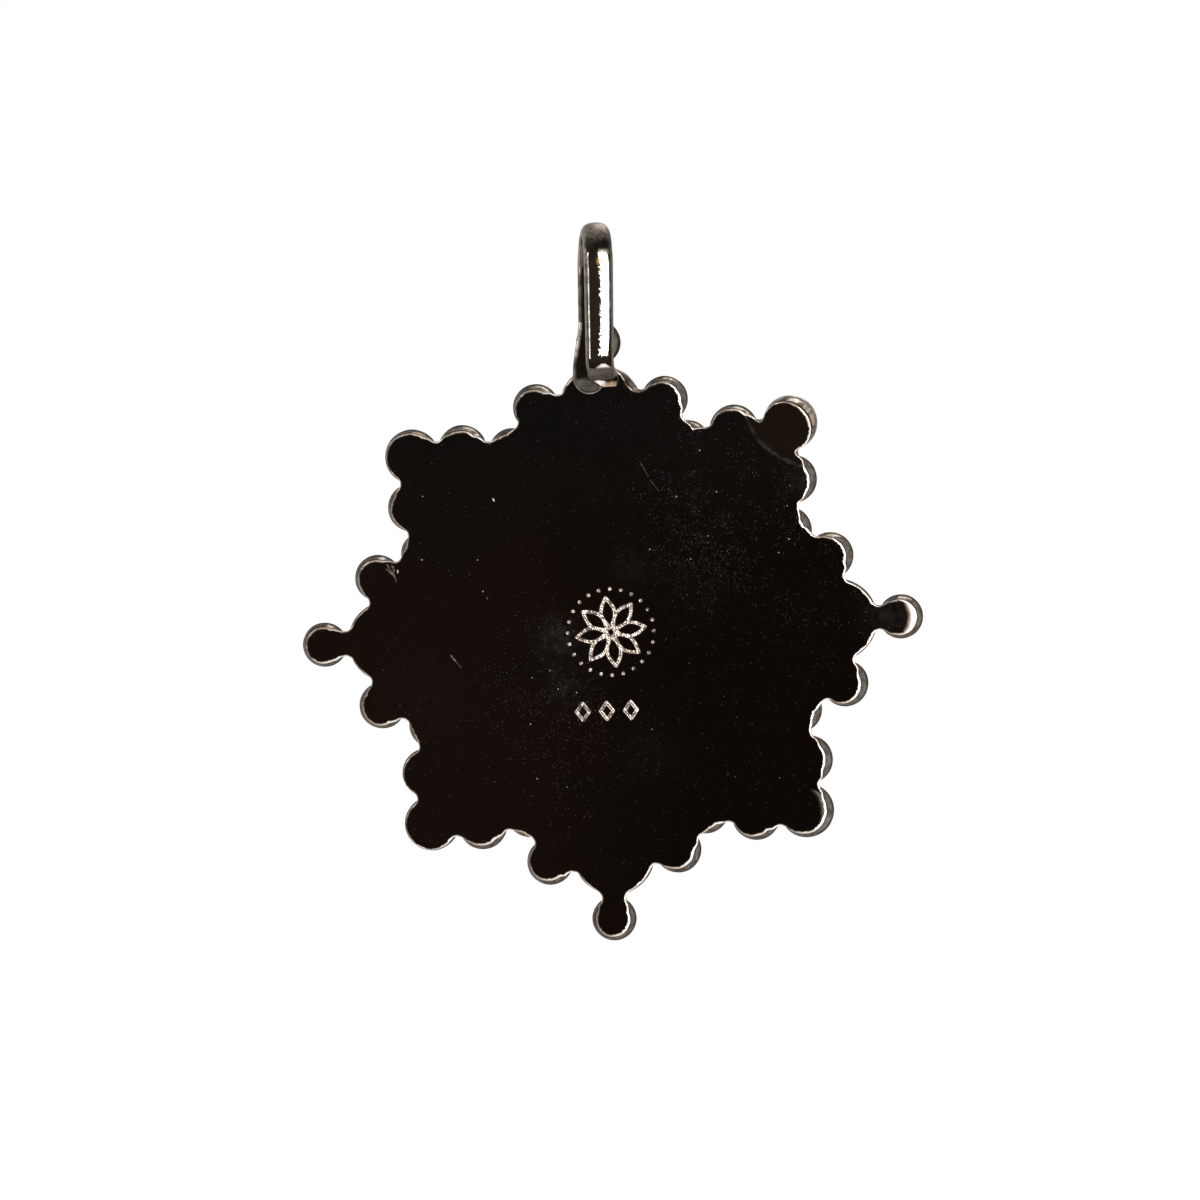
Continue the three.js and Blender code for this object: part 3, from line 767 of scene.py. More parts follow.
# The rims carry a painted highlight, widest and brightest towards this lit side
LIT_FROM = np.array([0.94, -0.34])       # the side where the bright line round the flat is widest
LINE_WIDTH = 0.055
LIT_LINE_WIDTH = 0.06
LEAST_LINE_WIDTH = 0.015
SOLDER_SEAM = ((629, 383), 0.85, 0.42)   # beside the bail, where the rim is wide and rough
BARE_RIMS = [((629, 383), 1.1, -0.10), ((806, 408), 2.6, 0.24), ((400, 430), 1.8, 0.10)]
# Painted highlight crescents on two flats
PAINTED_CRESCENTS = [                # lobe, direction that it faces, inner edge as a share of its flat, strength
    ("tip_ball_east", math.radians(-4), 0.68, 1.0),
    ("corner_ball_se", math.radians(2), 0.95, 0.95),
]
WHOLE_PLATE = ((0, 0), 26, 26)           # centre and half sizes of a patch


def painted_crescents(points):
    """Painted highlights: bright crescents beside the right edge of two flats, where the mirror rolls over
    and catches the light.
    """
    strength = np.zeros(len(points))
    for name, turn, inner, force in PAINTED_CRESCENTS:
        centre, radius = lobe_circle(name)
        base, _, askew = ODD_RIMS.get(name, USUAL_RIM)
        offset = points - centre + np.asarray(askew)
        gap = np.linalg.norm(offset, axis=1)
        reach = gap / (radius - base)
        facing = offset @ towards(turn) / np.maximum(gap, 1e-6)
        starts = inner + 0.42 * (1 - facing) + 0.04 * rough(points, 0.4, 9)
        found = smooth_step(starts - 0.34, starts + 0.2, reach) * smooth_step(0.1, 0.5, facing)
        strength = np.maximum(strength, force * found * smooth_step(1.1, 1.0, reach))
    return strength


def edge_wear_and_highlight(outline, ring_wear):
    """Wear round one ring of the edge, uneven, with nicks beside the hollows, and a painted highlight that
    makes it brighter towards the lit side, to the right.
    """
    wobble, ripple = outline.wobble, outline.ripple
    lit = outline.outward @ LIT_FROM
    if ring_wear < 0.2:
        return ring_wear + 0.05 * ripple * (ring_wear > 0)
    if ring_wear < 0.6:
        bare = soft_spots(outline.places, BARE_RIMS) * (1 + 1.6 * ripple)
        return ring_wear + 0.07 * lit + 0.10 * wobble + bare
    nick = smooth_step(0.0, 0.4, wobble) * (outline.rims < 0.14)
    seam = 2.0 * soft_spots(outline.places, [SOLDER_SEAM])
    return ring_wear * (0.72 + 0.24 * lit + 0.10 * ripple + 0.10 * wobble + 0.25 * nick - seam)


def plate_edge(outline):
    """Flat points, solid points and wear of each ring of the plate's edge."""
    # The bright line round the flat is widened towards the lit side as a painted highlight
    lit = np.clip(outline.outward @ LIT_FROM, 0, 1) * (1 + 0.9 * outline.ripple)
    lines = LINE_WIDTH * np.clip(outline.rims / FULL_RIM, 0.4, 1.1) + LIT_LINE_WIDTH * lit
    rings = []
    for inset, height, ring_wear in edge_rings(outline.rims, np.maximum(lines, LEAST_LINE_WIDTH)):
        roughness = RIM_ROUGHNESS * (1 - height / PLATE_THICKNESS)
        flat = outline.inset(inset + roughness * (outline.wobble + 0.7 * outline.ripple))
        wear_and_painted_light = edge_wear_and_highlight(outline, ring_wear)
        if height == 0:
            wear_and_painted_light = np.maximum(wear_and_painted_light, painted_crescents(flat))
        rings.append((flat, bend(flat, height), np.clip(wear_and_painted_light, 0, 1)))
    return rings


def back_patches():
    """Patches of the back with their centres, half sizes and the spacing of their points, fine at marks."""
    patches = [(*WHOLE_PLATE, 0.6), (CORNER_OUTWARD * (CREASE_REACH + 1), 3.6, 3.6, 0.15)]
    patches += [(lobe_circle(name)[0], 1.9, 1.9, 0.07) for name, *_ in PAINTED_CRESCENTS]
    patches.append((plate_point(STAMP_PIXEL), 3.8, 3.8, 0.045))
    patches.append((plate_point(np.mean(DIAMOND_PIXELS, axis=0)), 2.8, 0.95, 0.045))
    return patches + [(plate_point(np.mean(ends, axis=0)), 0.9, 0.9, 0.06) for *ends, _ in SCRATCHES]


def back_paint(points):
    """Attributes for the back's material: where it has painted sheen, is dusty, or lies right, high or past
    the bend.
    """
    flat = points[:, [0, 2]]
    past_streak = np.where(flat @ CORNER_OUTWARD > 0, beyond_crease(flat) + STREAK_BEFORE, -1)
    on_back = (points[:, 1] < 0.1) | (past_streak > 0)
    tab = smooth_step(0, 0.3, past_streak)
    streak = np.exp(-(past_streak / STREAK_WIDTH) ** 2) * np.clip(0.9 + 0.9 * rough(flat, 0.5, 8), 0.2, 1)
    return {
        "painted_sheen": np.clip(soft_spots(flat, PAINTED_SHEEN_SPOTS) + 2 * streak, 0, 2) * on_back,
        "dust": np.clip(BASE_DUST + soft_spots(flat, DUST_SPOTS), 0, 0.9) * on_back * (1 - tab),
        "to_right": smooth_step(-15, 8, flat[:, 0]), "to_top": smooth_step(3, 17, flat[:, 1]), "tab": tab,
    }


def plate_piece():
    outline = Outline(outline_arcs())
    size = outline.size
    flats, solids, wear_and_painted_light = (list(values) for values in zip(*plate_edge(outline)))
    faces = band_faces(len(flats), size)
    first = len(flats) * size

    back, back_faces = cover(flats[-1], back_patches(), margin=0.05)
    back = back[size:]
    mark = stroke_strength(back, punched_strokes(), 5)
    scratch = scratch_strength(back)
    solid = bend(back, 0)
    solid[:, 1] += STROKE_DEPTH * mark + SCRATCH_DEPTH * scratch
    solids.append(solid)
    wear_and_painted_light.append(np.clip(np.maximum.reduce([mark, scratch, painted_crescents(back)]), 0, 1))
    faces += renumbered(back_faces, size, first - size, first)

    front, front_faces = cover(flats[0], [(*WHOLE_PLATE, 1.2)], margin=0.2)
    front = front[size:]
    solids.append(bend(front, PLATE_THICKNESS))
    wear_and_painted_light.append(np.full(len(front), 0.3))
    faces += renumbered(front_faces, size, 0, first + len(back))

    points = np.vstack(solids)
    attributes = {"wear_and_painted_light": np.concatenate(wear_and_painted_light), **back_paint(points)}
    new_piece("back_plate_polished", points, faces, blackened_back(), ["back_plate"],
              attributes, sharp_angle=math.radians(40))


# Domes on the front
def dome_profile(radius, height):
    """A flattened ball that swells a little over its seam, from its underside to its top."""
    widest = radius + DOME_BULGE
    profile = [(0, 0), (radius - 0.14, 0.0), (radius - 0.05, 0.05), (radius + 0.02, 0.15)]
    for index in range(DOME_STEPS):
        angle = math.pi / 2 * index / DOME_STEPS
        rise = (height - DOME_BULGE_HEIGHT) * math.sin(angle)
        profile.append((widest * math.cos(angle), DOME_BULGE_HEIGHT + rise))
    return profile + [(0, height)]


def dome_piece(name, index, material):
    normal = BENT_NORMAL if name == BENT_BALL else FRONT_NORMAL
    centre, radius, height = seat_of(name, normal)
    if name == "tip_ball_north":
        centre = centre + np.array([NORTH_BALL_ASIDE, 0, 0])
    points, faces = turned(dome_profile(radius, height), DOME_SEGMENTS)
    seam = 0.4 if name in BRIGHT_SEAMS else 0.04
    wear_and_painted_light = between(seam, 0.84, smooth_step(0.05, 0.55 * height, points[:, 1]))
    swell = rough(points, 1.4, 20 + index)
    points[:, [0, 2]] *= (1 + 0.010 * swell)[:, None]
    turn = Vector(FRONT_NORMAL).rotation_difference(Vector(normal)).to_matrix()
    points = points @ np.array(turn).T + centre
    new_piece(name + "_dome", points, faces, material, [name], {"wear_and_painted_light": wear_and_painted_light})


def domes():
    material = aged_silver("bead_silver_polished", (0.47, 0.45, 0.42), (0.030, 0.024, 0.019), 0.12, 0.16)
    names = sorted(set(lobe_names())) + [f"corner_boss_{corner}" for corner in CORNERS]
    for index, name in enumerate(names):
        dome_piece(name, index, material)


# Ring of twisted wire and the bezel
ROPE_TURNS = 54
ROPE_STEPS = 12
ROPE_SIDES = 10


def ring_size(name):
    """Inner and outer radius of a ring node about the medal's axis, and its height."""
    points = node_points(name)
    radii = np.hypot(points[:, 0], points[:, 2])
    return radii.min(), radii.max(), points[:, 1].max() - points[:, 1].min()


def rope_piece(material):
    """Two strands twisted round each other into a closed ring."""
    inner, outer, height = ring_size("rope_ring")
    middle = (inner + outer) / 2
    strand = height / 4 + 0.015
    count = ROPE_TURNS * ROPE_STEPS
    points, faces, wear_and_painted_light = [], [], []
    for phase in (0, math.pi):
        first = len(points)
        for step in range(count):
            along = FULL_TURN * step / count
            twist = phase + FULL_TURN * step / ROPE_STEPS
            outward = np.array([math.cos(along), 0, math.sin(along)])
            radial = outward * math.cos(twist) + FRONT_NORMAL * math.sin(twist)
            centre = outward * middle + FRONT_NORMAL * (PLATE_THICKNESS + height / 2) + radial * height / 4
            for side in range(ROPE_SIDES):
                turn = FULL_TURN * side / ROPE_SIDES
                offset = outward * math.cos(turn) + FRONT_NORMAL * math.sin(turn)
                points.append(centre + offset * strand)
                wear_and_painted_light.append(0.45 + 0.5 * math.cos(turn - twist) * (0.6 + 0.4 * math.sin(turn)))
        faces += band_faces(count, ROPE_SIDES, first, closed=True)
    new_piece("rope_ring_twisted", points, faces, material, ["rope_ring"],
              {"wear_and_painted_light": np.clip(wear_and_painted_light, 0, 1)})


def bezel_piece(material):
    """The ring wall round the medal, with its lip pressed in a little and softly uneven."""
    inner, outer, height = ring_size("bezel")
    lip = 0.12
    profile = [
        (inner, 0), (outer, 0), (outer + 0.02, 0.3 * height), (outer, 0.7 * height),
        (outer - 0.4 * lip, 0.92 * height), (outer - lip, height), (inner + 0.4 * lip, height),
        (inner - 0.3 * lip, 0.95 * height), (inner, 0.85 * height), (inner, 0.3 * height),
    ]
    segments = 240
    points, _ = turned(profile, segments)
    faces = band_faces(len(profile), segments, closed=True)
    wear_and_painted_light = 0.1 + 0.85 * smooth_step(0.45 * height, 0.95 * height, points[:, 1])
    uneven = 0.03 * rough(points, 1.5, 40) * (points[:, 1] > 0.8 * height)
    points[:, 1] += PLATE_THICKNESS + uneven
    new_piece("bezel_wall", points, faces, material, ["bezel"], {"wear_and_painted_light": wear_and_painted_light})


# Medal
MEDAL_THICKNESS = 1.0
MEDAL_RELIEF = 0.35
MEDAL_RIM = 0.7
MEDAL_EDGE = 0.06            # the rim's outer edge lies lower by this
MEDAL_SEGMENTS = 620
INNER_RING = 8.6
INNER_RING_WIDTH = 0.4
CROSS_LENGTH = 7.4
CROSS_WAIST = 0.85
CROSS_FLARE = 2.3
CROSS_END_HOLLOW = 0.25
CROSS_BORDER = 0.34
ROUNDEL_RADIUS = 1.5
ROUNDEL_BORDER = 0.36
ROUNDEL_REACH = 5.6
BAND_PEARLS = 44
BAND_PEARL_RADIUS = 0.42
RELIEF_STEP = 0.11
RELIEF_SLOPE = 0.22


def cross_inside(along, across):
    """How far inside the nearer flared arm of the cross a point lies, negative outside."""
    share = np.clip(along / CROSS_LENGTH, 0, 1)
    half_width = between(CROSS_WAIST, CROSS_FLARE, share ** 2.4)
    end = CROSS_LENGTH - CROSS_END_HOLLOW * (1 - (across / CROSS_FLARE) ** 2)
    return np.minimum(half_width - abs(across), end - along)


def raised(inside):
    """A form with sloping walls, from how far inside its outline each point lies."""
    return smooth_step(0, RELIEF_SLOPE, inside)


def gap_to_nearest(x, z, reach, count, start=0.0):
    """Distance to the nearest of a number of places set evenly round the medal's centre."""
    step = FULL_TURN / count
    turn = np.round((np.arctan2(z, x) - start) / step) * step + start
    return np.hypot(x - reach * np.cos(turn), z - reach * np.sin(turn))


def cross_relief(x, z):
    """The flared cross, sunk inside its border, with a ridge down the middle of each arm."""
    upright = abs(z) > abs(x)
    along = np.where(upright, abs(z), abs(x))
    across = np.where(upright, x, z)
    inside = cross_inside(along, across)
    cross = raised(inside) * 0.9 - raised(inside - CROSS_BORDER) * 0.42
    ridge = smooth_step(0.0, 0.12, 0.16 - abs(across)) * smooth_step(0, 0.6, CROSS_LENGTH - 0.9 - along)
    return np.maximum(cross, ridge * 0.8)


def roundel_relief(x, z):
    """A bare roundel between each two arms of the cross, with a border and a low boss."""
    gap = gap_to_nearest(x, z, ROUNDEL_REACH, 4, math.pi / 4)
    roundel = raised(ROUNDEL_RADIUS - gap) * 0.9 - raised(ROUNDEL_RADIUS - ROUNDEL_BORDER - gap) * 0.4
    return np.maximum(roundel, np.clip(1 - (gap / 0.42) ** 2, 0, 1) * 0.85)


def medal_relief(x, z):
    """Height of the medal's design over its field, as a share of the relief."""
    reach = np.hypot(x, z)
    band_end = MEDAL_RADIUS - MEDAL_RIM
    ring = raised(INNER_RING_WIDTH / 2 + 0.08 - abs(reach - INNER_RING))
    pearl_gap = gap_to_nearest(x, z, (INNER_RING + band_end) / 2, BAND_PEARLS)
    pearls = np.sqrt(np.clip(1 - (pearl_gap / BAND_PEARL_RADIUS) ** 2, 0, 1)) * 0.8
    forms = [cross_relief(x, z), raised(reach - band_end), ring, roundel_relief(x, z), pearls]
    return np.maximum(np.maximum.reduce(forms), 0)


def medal_piece(material):
    rings = round((MEDAL_RADIUS - MEDAL_EDGE) / RELIEF_STEP)
    profile = [(MEDAL_RADIUS * index / rings, 0) for index in range(rings)]
    points, faces = turned(profile + [(MEDAL_RADIUS, -MEDAL_EDGE)], MEDAL_SEGMENTS)
    relief = medal_relief(points[:, 0], points[:, 2])
    stipple = rough(points, 0.35, 50)
    points[:, 1] += MEDAL_THICKNESS + MEDAL_RELIEF * relief + 0.015 * stipple * (relief < 0.2)
    bottom = len(points)
    first = bottom - MEDAL_SEGMENTS
    below = points[first:].copy()
    below[:, 1] = 0
    points = np.vstack([points, below, [[0, 0, 0]]])
    faces += band_faces(2, MEDAL_SEGMENTS, first)
    faces += fan_faces(len(points) - 1, bottom, MEDAL_SEGMENTS)
    under = np.full(MEDAL_SEGMENTS + 1, 0.1)
    wear_and_painted_light = np.concatenate([0.06 + 0.86 * smooth_step(0.15, 0.85, relief), under])
    points[:, 1] += PLATE_THICKNESS
    new_piece("medal_relief", points, faces, material, ["medal"], {"wear_and_painted_light": wear_and_painted_light})


# Bail
Station = namedtuple("Station", "depth height offset run width thickness twist",
                     defaults=(STRAP_WIDTH, STRAP_THICKNESS, BAIL_TWIST))
FOOT_LIP = seat_of("arm_boss_north")[0][2] + MEDAL_ORIGIN[2] + FOOT_LAP
FOOT_TOP = FOOT_LIP + FOOT_WIDTH / 2
LOOP_CENTRE = -LOOP_RADIUS + STRAP_THICKNESS / 2
BEND_HEIGHT = FOOT_LIP + BEND_RISE
BEND_WIDTH = (STRAP_WIDTH + TIP_WIDTH) / 2
TIP_DEPTH = MEDAL_ORIGIN[1] - FOOT_THICKNESS - TIP_GAP - STRAP_THICKNESS / 2
FOOT_STEPS = 18
FAR_LEG_STEPS = 60
ARCH_STEPS = 60
NEAR_LEG_STEPS = 80
BEND_STEPS = 20
TIP_STEPS = 14
LIP_STEPS = 8


def corner_arc(side, up, across, depth):
    """A rounded corner, from the wall at the given side to the face at the given height."""
    turns = np.linspace(0, math.pi / 2, ROUND_STEPS)
    return [(side + across * (1 - math.cos(turn)), up + depth * (1 - math.sin(turn))) for turn in turns]


def strap_outline(width, thickness, arch):
    """Points round the strap's section as (side, inwards): its crowned outer face from left to right, then
    its flat inner face. Arch is 1 where the outer face is rounded like a wire, and 0 on the legs."""
    half, rise = width / 2, thickness / 2
    share = thickness / STRAP_THICKNESS
    crown = between(STRAP_CROWN, ARCH_CROWN, arch) * share
    left, right = (min(between(own, ARCH_ROUND, arch), 0.4 * width) for own in LEG_ROUND)
    bevel = min(STRAP_BEVEL * share, 0.3 * width)
    right_arc = corner_arc(-half, -rise, right, min(right, 0.8 * thickness))
    inner_arc = corner_arc(-half, -rise, bevel, bevel)
    outer = corner_arc(-half, -rise, left, min(left, 0.8 * thickness))
    outer += [(side, -rise) for side in np.linspace(-half + left, half - right, FACE_STEPS)[1:-1]]
    outer += [(-side, up) for side, up in reversed(right_arc)]
    outer = [(side, up - crown * (1 - (side / half) ** 2)) for side, up in outer]
    inner = [(-side, -up) for side, up in inner_arc]
    inner += [(side, rise) for side in np.linspace(half - bevel, -half + bevel, INNER_STEPS)[1:-1]]
    inner += [(side, -up) for side, up in reversed(inner_arc)]
    return np.array(outer + inner)


def leg_offset(depth, height):
    """Sideways place of the twisted, leaning strap, from its place front to back and its height."""
    return -depth * math.tan(BAIL_TWIST) + height * math.tan(BAIL_LEAN)


def far_leg_stations():
    """The foot lies on the plate's back, and the far leg rises from it, twists and leans."""
    back_plane = MEDAL_ORIGIN[1]
    north_ball, ball_radius, _ = seat_of("tip_ball_north")
    plate_top = north_ball[2] + ball_radius + MEDAL_ORIGIN[2]
    stations = []
    for index in range(FOOT_STEPS):
        turn = math.pi / 2 * (0.12 + 0.88 * index / (FOOT_STEPS - 1))
        rise = 1 - math.cos(turn)
        thickness = between(FOOT_EDGE, FOOT_THICKNESS, smooth_step(0, 0.8, rise))
        stations.append(Station(back_plane - thickness / 2, FOOT_LIP + FOOT_WIDTH / 2 * rise, FOOT_OFFSET, 0,
                                FOOT_WIDTH * math.sin(turn), thickness, 0))
    for index in range(1, FAR_LEG_STEPS):
        height = FOOT_TOP + (LOOP_CENTRE - FOOT_TOP) * index / FAR_LEG_STEPS
        share = float(smooth_step(FOOT_TOP, plate_top, height))
        thickness = between(FOOT_THICKNESS, STRAP_THICKNESS, share)
        offset = between(FOOT_OFFSET, leg_offset(LOOP_RADIUS, height), share)
        twist = BAIL_TWIST * float(smooth_step(plate_top - 1, plate_top + STRAP_WIDTH / 2 + 1, height))
        stations.append(Station(back_plane - thickness / 2, height, offset, 0,
                                between(FOOT_WIDTH, STRAP_WIDTH, share), thickness, twist))
    return stations


def arch_stations():
    stations = []
    for index in range(ARCH_STEPS + 1):
        turn = math.pi * index / ARCH_STEPS
        depth = LOOP_RADIUS * math.cos(turn)
        height = LOOP_CENTRE + LOOP_RADIUS * math.sin(turn)
        stations.append(Station(depth, height, leg_offset(depth, height), turn))
    return stations


def straight(start, end, steps):
    """Stations from one to another in even steps, without the first."""
    start, end = np.array(start), np.array(end)
    return [Station(*between(start, end, index / steps)) for index in range(1, steps + 1)]


def near_leg_stations():
    """The near leg comes down and turns in to the plate."""
    top, low = (Station(-LOOP_RADIUS, height, leg_offset(-LOOP_RADIUS, height), math.pi, width)
                for height, width in ((LOOP_CENTRE, STRAP_WIDTH), (BEND_HEIGHT, BEND_WIDTH)))
    stations = straight(top, low, NEAR_LEG_STEPS)[:-1]
    for index in range(BEND_STEPS + 1):
        turn = BEND_LEAN * index / BEND_STEPS
        depth = -LOOP_RADIUS + BEND_RADIUS * (1 - math.cos(turn))
        height = BEND_HEIGHT - BEND_RADIUS * math.sin(turn)
        offset = between(low.offset, TIP_OFFSET, (depth + LOOP_RADIUS) / (TIP_DEPTH + LOOP_RADIUS))
        stations.append(Station(depth, height, offset, math.pi + turn, BEND_WIDTH))
    return stations


def tip_stations(bent):
    """From the bend, the free end runs on over the foot and turns down to its lip."""
    turned_back = LIP_RADIUS * (math.cos(LIP_LEAN) - math.cos(BEND_LEAN))
    lip_depth = TIP_DEPTH - turned_back - LIP_LENGTH * math.sin(LIP_LEAN)
    lip_height = bent.height - (lip_depth - bent.depth) / math.tan(BEND_LEAN)
    lip = Station(lip_depth, lip_height, TIP_OFFSET, math.pi + BEND_LEAN, TIP_WIDTH)
    stations = straight(bent, lip, TIP_STEPS)
    for index in range(1, LIP_STEPS + 1):
        turn = BEND_LEAN + (LIP_LEAN - BEND_LEAN) * index / LIP_STEPS
        depth = lip_depth + LIP_RADIUS * (math.cos(turn) - math.cos(BEND_LEAN))
        height = lip_height - LIP_RADIUS * (math.sin(BEND_LEAN) - math.sin(turn))
        stations.append(Station(depth, height, TIP_OFFSET, math.pi + turn, TIP_WIDTH))
    depth += LIP_LENGTH * math.sin(LIP_LEAN)
    height -= LIP_LENGTH * math.cos(LIP_LEAN)
    stations.append(Station(depth, height, TIP_OFFSET, math.pi + LIP_LEAN, TIP_WIDTH - TIP_ROUNDING,
                            STRAP_THICKNESS - TIP_ROUNDING))
    return stations


def strap_ring(station):
    """The points of the strap's section at one station in the row frame, and its flat outline."""
    across = np.array([math.cos(station.twist), math.sin(station.twist), 0])
    backwards = np.array([math.sin(station.twist), -math.cos(station.twist), 0])
    inwards = backwards * math.cos(station.run) - np.array([0, 0, math.sin(station.run)])
    centre = np.array([station.offset, station.depth, station.height])
    arch = float(plateau(0, 0.7, math.pi - 0.7, math.pi, station.run))
    outline = strap_outline(station.width, station.thickness, arch)
    return centre + np.outer(outline[:, 0], across) + np.outer(outline[:, 1], inwards), outline


class Strap:
    """The strap's points in the row frame, and where each lies: its side, from the strap's middle, its
    height, how far it is from both edges, which way the strap runs there, and two kinds of noise."""

    def __init__(self, stations):
        rings = [strap_ring(station) for station in stations]
        self.tip = stations[-1]
        self.size = len(rings[0][1])
        self.points = np.vstack([ring for ring, _ in rings])
        self.height = self.points[:, 2]
        self.side, self.up = np.vstack([outline for _, outline in rings]).T
        self.run = np.repeat([station.run for station in stations], self.size)
        self.degrees = np.degrees(self.run)
        half = np.repeat([station.width / 2 for station in stations], self.size)
        self.edge = (half + self.side, half - self.side)
        self.wave = rough(self.points * np.array([0.4, 0.4, 1]), 0.5, 60)
        self.fine = rough(self.points * np.array([0.5, 0.5, 1]), 0.10, 61)


# Worn places of the strap, with its painted highlights, reflections and shade. Its run is 0 up the far leg,
# 180 degrees down the near one and more in the bend.
# Sides and heights of the painted highlight strip down the near leg, and a nick across it
STRIP_SIDES = (-0.01, 0.75)
STRIP_HEIGHTS = (-1.2, -9.62)
NOTCH = (0.12, -2.1, 0.30)   # side, height and half width of a nick across the bright strip
# The triangle and the tone of the bend are painted grey reflections on the near leg's bend
TRIANGLE_RUNS = (193, 206)
TRIANGLE_SIDE = 0.2
BENT_TONE = 0.36
# The lip's painted highlight, with a painted dark reflection above it to the right
LIP_SHADE = (0.02, -0.34)    # height of the bright part of the lip's face at its right, and slope
# A painted highlight line along the near leg's left edge
EDGE_LINE = (0.225, 0.29)    # from the strap's left edge
EDGE_LINE_HEIGHTS = (-1.3, -9.7)
FOOT_TONE = 0.25
INNER_TONE = 0.5
SOLDER_SHIFT = (0.1, 0.45, 0.3)   # from the tip's middle
SOLDER_SIZE = (0.9, 0.5, 0.4)


def painted_highlight_strip(strap):
    """The painted highlight strip down the near leg, bare silver in place of a lamp's reflection, ragged on
    its left and nicked near its top.
    """
    side, height, wave, fine = strap.side, strap.height, strap.wave, strap.fine
    low, high = STRIP_SIDES
    top, bottom = STRIP_HEIGHTS
    down = np.clip((height - top) / (bottom - top), 0, 1)
    bow = 0.13 * np.sin(math.pi * down) - 0.05 * down
    torn = 0.24 + 0.16 * smooth_step(-4.5, -8, height)
    ragged = low + bow + 0.07 * wave + torn * fine
    even = high + bow + 0.04 * wave - 0.10 * down
    strip = smooth_step(-0.07, 0.05, side - ragged) * smooth_step(0.04, -0.04, side - even)
    strip *= smooth_step(0.30, -0.35, height - top + 0.1 * wave)
    strip *= smooth_step(-0.06, 0.1, height - bottom + 0.2 * fine)
    place, level, reach = NOTCH
    fall = height - level + 0.7 * abs(side - place) - 0.2
    notch = smooth_step(0.1, 0.03, abs(fall)) * smooth_step(reach, reach - 0.08, abs(side - place))
    stem = smooth_step(0.09, 0.04, abs(side - place - 0.08)) * (height < level) * (height > level - 0.5)
    return strip * (1 - 0.62 * np.maximum(notch, 0.7 * stem))


def near_leg_wear_and_painted_light(strap):
    """Wear and painted light of the near leg's outer face: dark patina with grey bands at its sides, a
    painted highlight strip and edge line, and a painted grey reflection on the triangle and the bend.
    """
    side, degrees, wave, fine = strap.side, strap.degrees, strap.wave, strap.fine
    to_left, to_right = strap.edge
    right_from = STRIP_SIDES[1] + 0.02
    right = 0.18 + 0.28 * smooth_step(0.32, 0.02, to_right)
    right *= smooth_step(right_from, right_from + 0.12, side)
    inner, outer = EDGE_LINE
    top, bottom = EDGE_LINE_HEIGHTS
    line = plateau(inner - 0.03, inner, outer, outer + 0.03, to_left) * (1.0 + 0.4 * wave + 0.4 * fine)
    line *= (strap.height < top) * (strap.height > bottom)
    first, last = TRIANGLE_RUNS
    open_to = 0.06 + 0.5 * np.clip((degrees - first) / (last - first), 0, 1)
    triangle = (degrees > first) * smooth_step(last + 3, last, degrees)
    triangle *= smooth_step(0.05, -0.03, abs(side - TRIANGLE_SIDE) - open_to)
    bent = smooth_step(last, last + 5, degrees) * (BENT_TONE - 0.04 * side + 0.06 * fine)
    left = smooth_step(0.2, 0.15, to_left) * (0.33 + 0.1 * wave)
    return np.maximum.reduce([0.03 + 0.02 * fine, painted_highlight_strip(strap), left, right, line, triangle, bent])


def lip_painted_light(strap):
    """Painted light on the lip, over dark patina: a painted highlight along its lower edge, and a painted
    dark reflection above it to the right.
    """
    reach, slope = LIP_SHADE
    shade = strap.tip.height + reach + slope * (strap.side - 1)
    bright = smooth_step(shade + 0.07, shade - 0.03, strap.height) * smooth_step(-1.02, -0.9, strap.side)
    return 0.04 + 0.96 * bright + 0.05 * strap.fine


def far_leg_wear_and_glint(strap):
    """Wear of the far leg's inner face, with a painted glint, and of the disc that its foot is hammered to.
    """
    height, wave, fine = strap.height, strap.wave, strap.fine
    to_left = strap.edge[0]
    rim = smooth_step(0.3, 0.16, to_left) * (0.33 + 0.1 * wave)
    jagged = plateau(0.02, 0.06, 0.21, 0.27, to_left) * plateau(-9.9, -9.3, -6.9, -6.6, height)
    jagged *= 0.95 + 0.6 * fine
    glint = plateau(0.05, 0.08, 0.12, 0.18, to_left) * smooth_step(0.9, 0.4, abs(height + 2.4))
    wear_and_painted_light = np.maximum.reduce([0.03 + 0.03 * fine, rim, jagged, glint])
    from_middle = np.hypot(strap.points[:, 0] - FOOT_OFFSET, np.minimum(height - FOOT_TOP, 0))
    gap = FOOT_WIDTH / 2 - from_middle
    disc = FOOT_TONE + 0.1 * fine + 0.26 * smooth_step(0.1, 0.04, gap)
    disc -= 0.22 * smooth_step(0.05, 0.0, abs(gap - 0.17))
    return between(wear_and_painted_light, disc, smooth_step(0.04, -0.04, height - FOOT_TOP - 0.05 * wave))


def strap_wear_and_painted_light(strap):
    """Wear all over the strap, with the painted highlights, reflections and shade of the near leg, its lip
    and the far leg's glint: its arch, both legs, its walls and its inner face.
    """
    arch = smooth_step(0.2, 1.0, np.sin(np.clip(strap.run, 0, math.pi)))
    mottled = 0.10 + 0.30 * arch ** 2 + 0.16 * strap.fine
    near = np.where(strap.points[:, 1] > 0, lip_painted_light(strap), near_leg_wear_and_painted_light(strap))
    to_near = smooth_step(math.radians(138), math.radians(158), strap.run) * (strap.up < 0)
    wear_and_painted_light = between(mottled, near, to_near)
    wear_and_painted_light = np.where(np.minimum(*strap.edge) < 0.03, 0.34 + 0.12 * strap.wave, wear_and_painted_light)
    wear_and_painted_light = np.where((strap.run == 0) & (strap.up > 0), far_leg_wear_and_glint(strap), wear_and_painted_light)
    return np.clip(np.where((strap.run > 0) & (strap.up > 0), INNER_TONE, wear_and_painted_light), 0, 1)


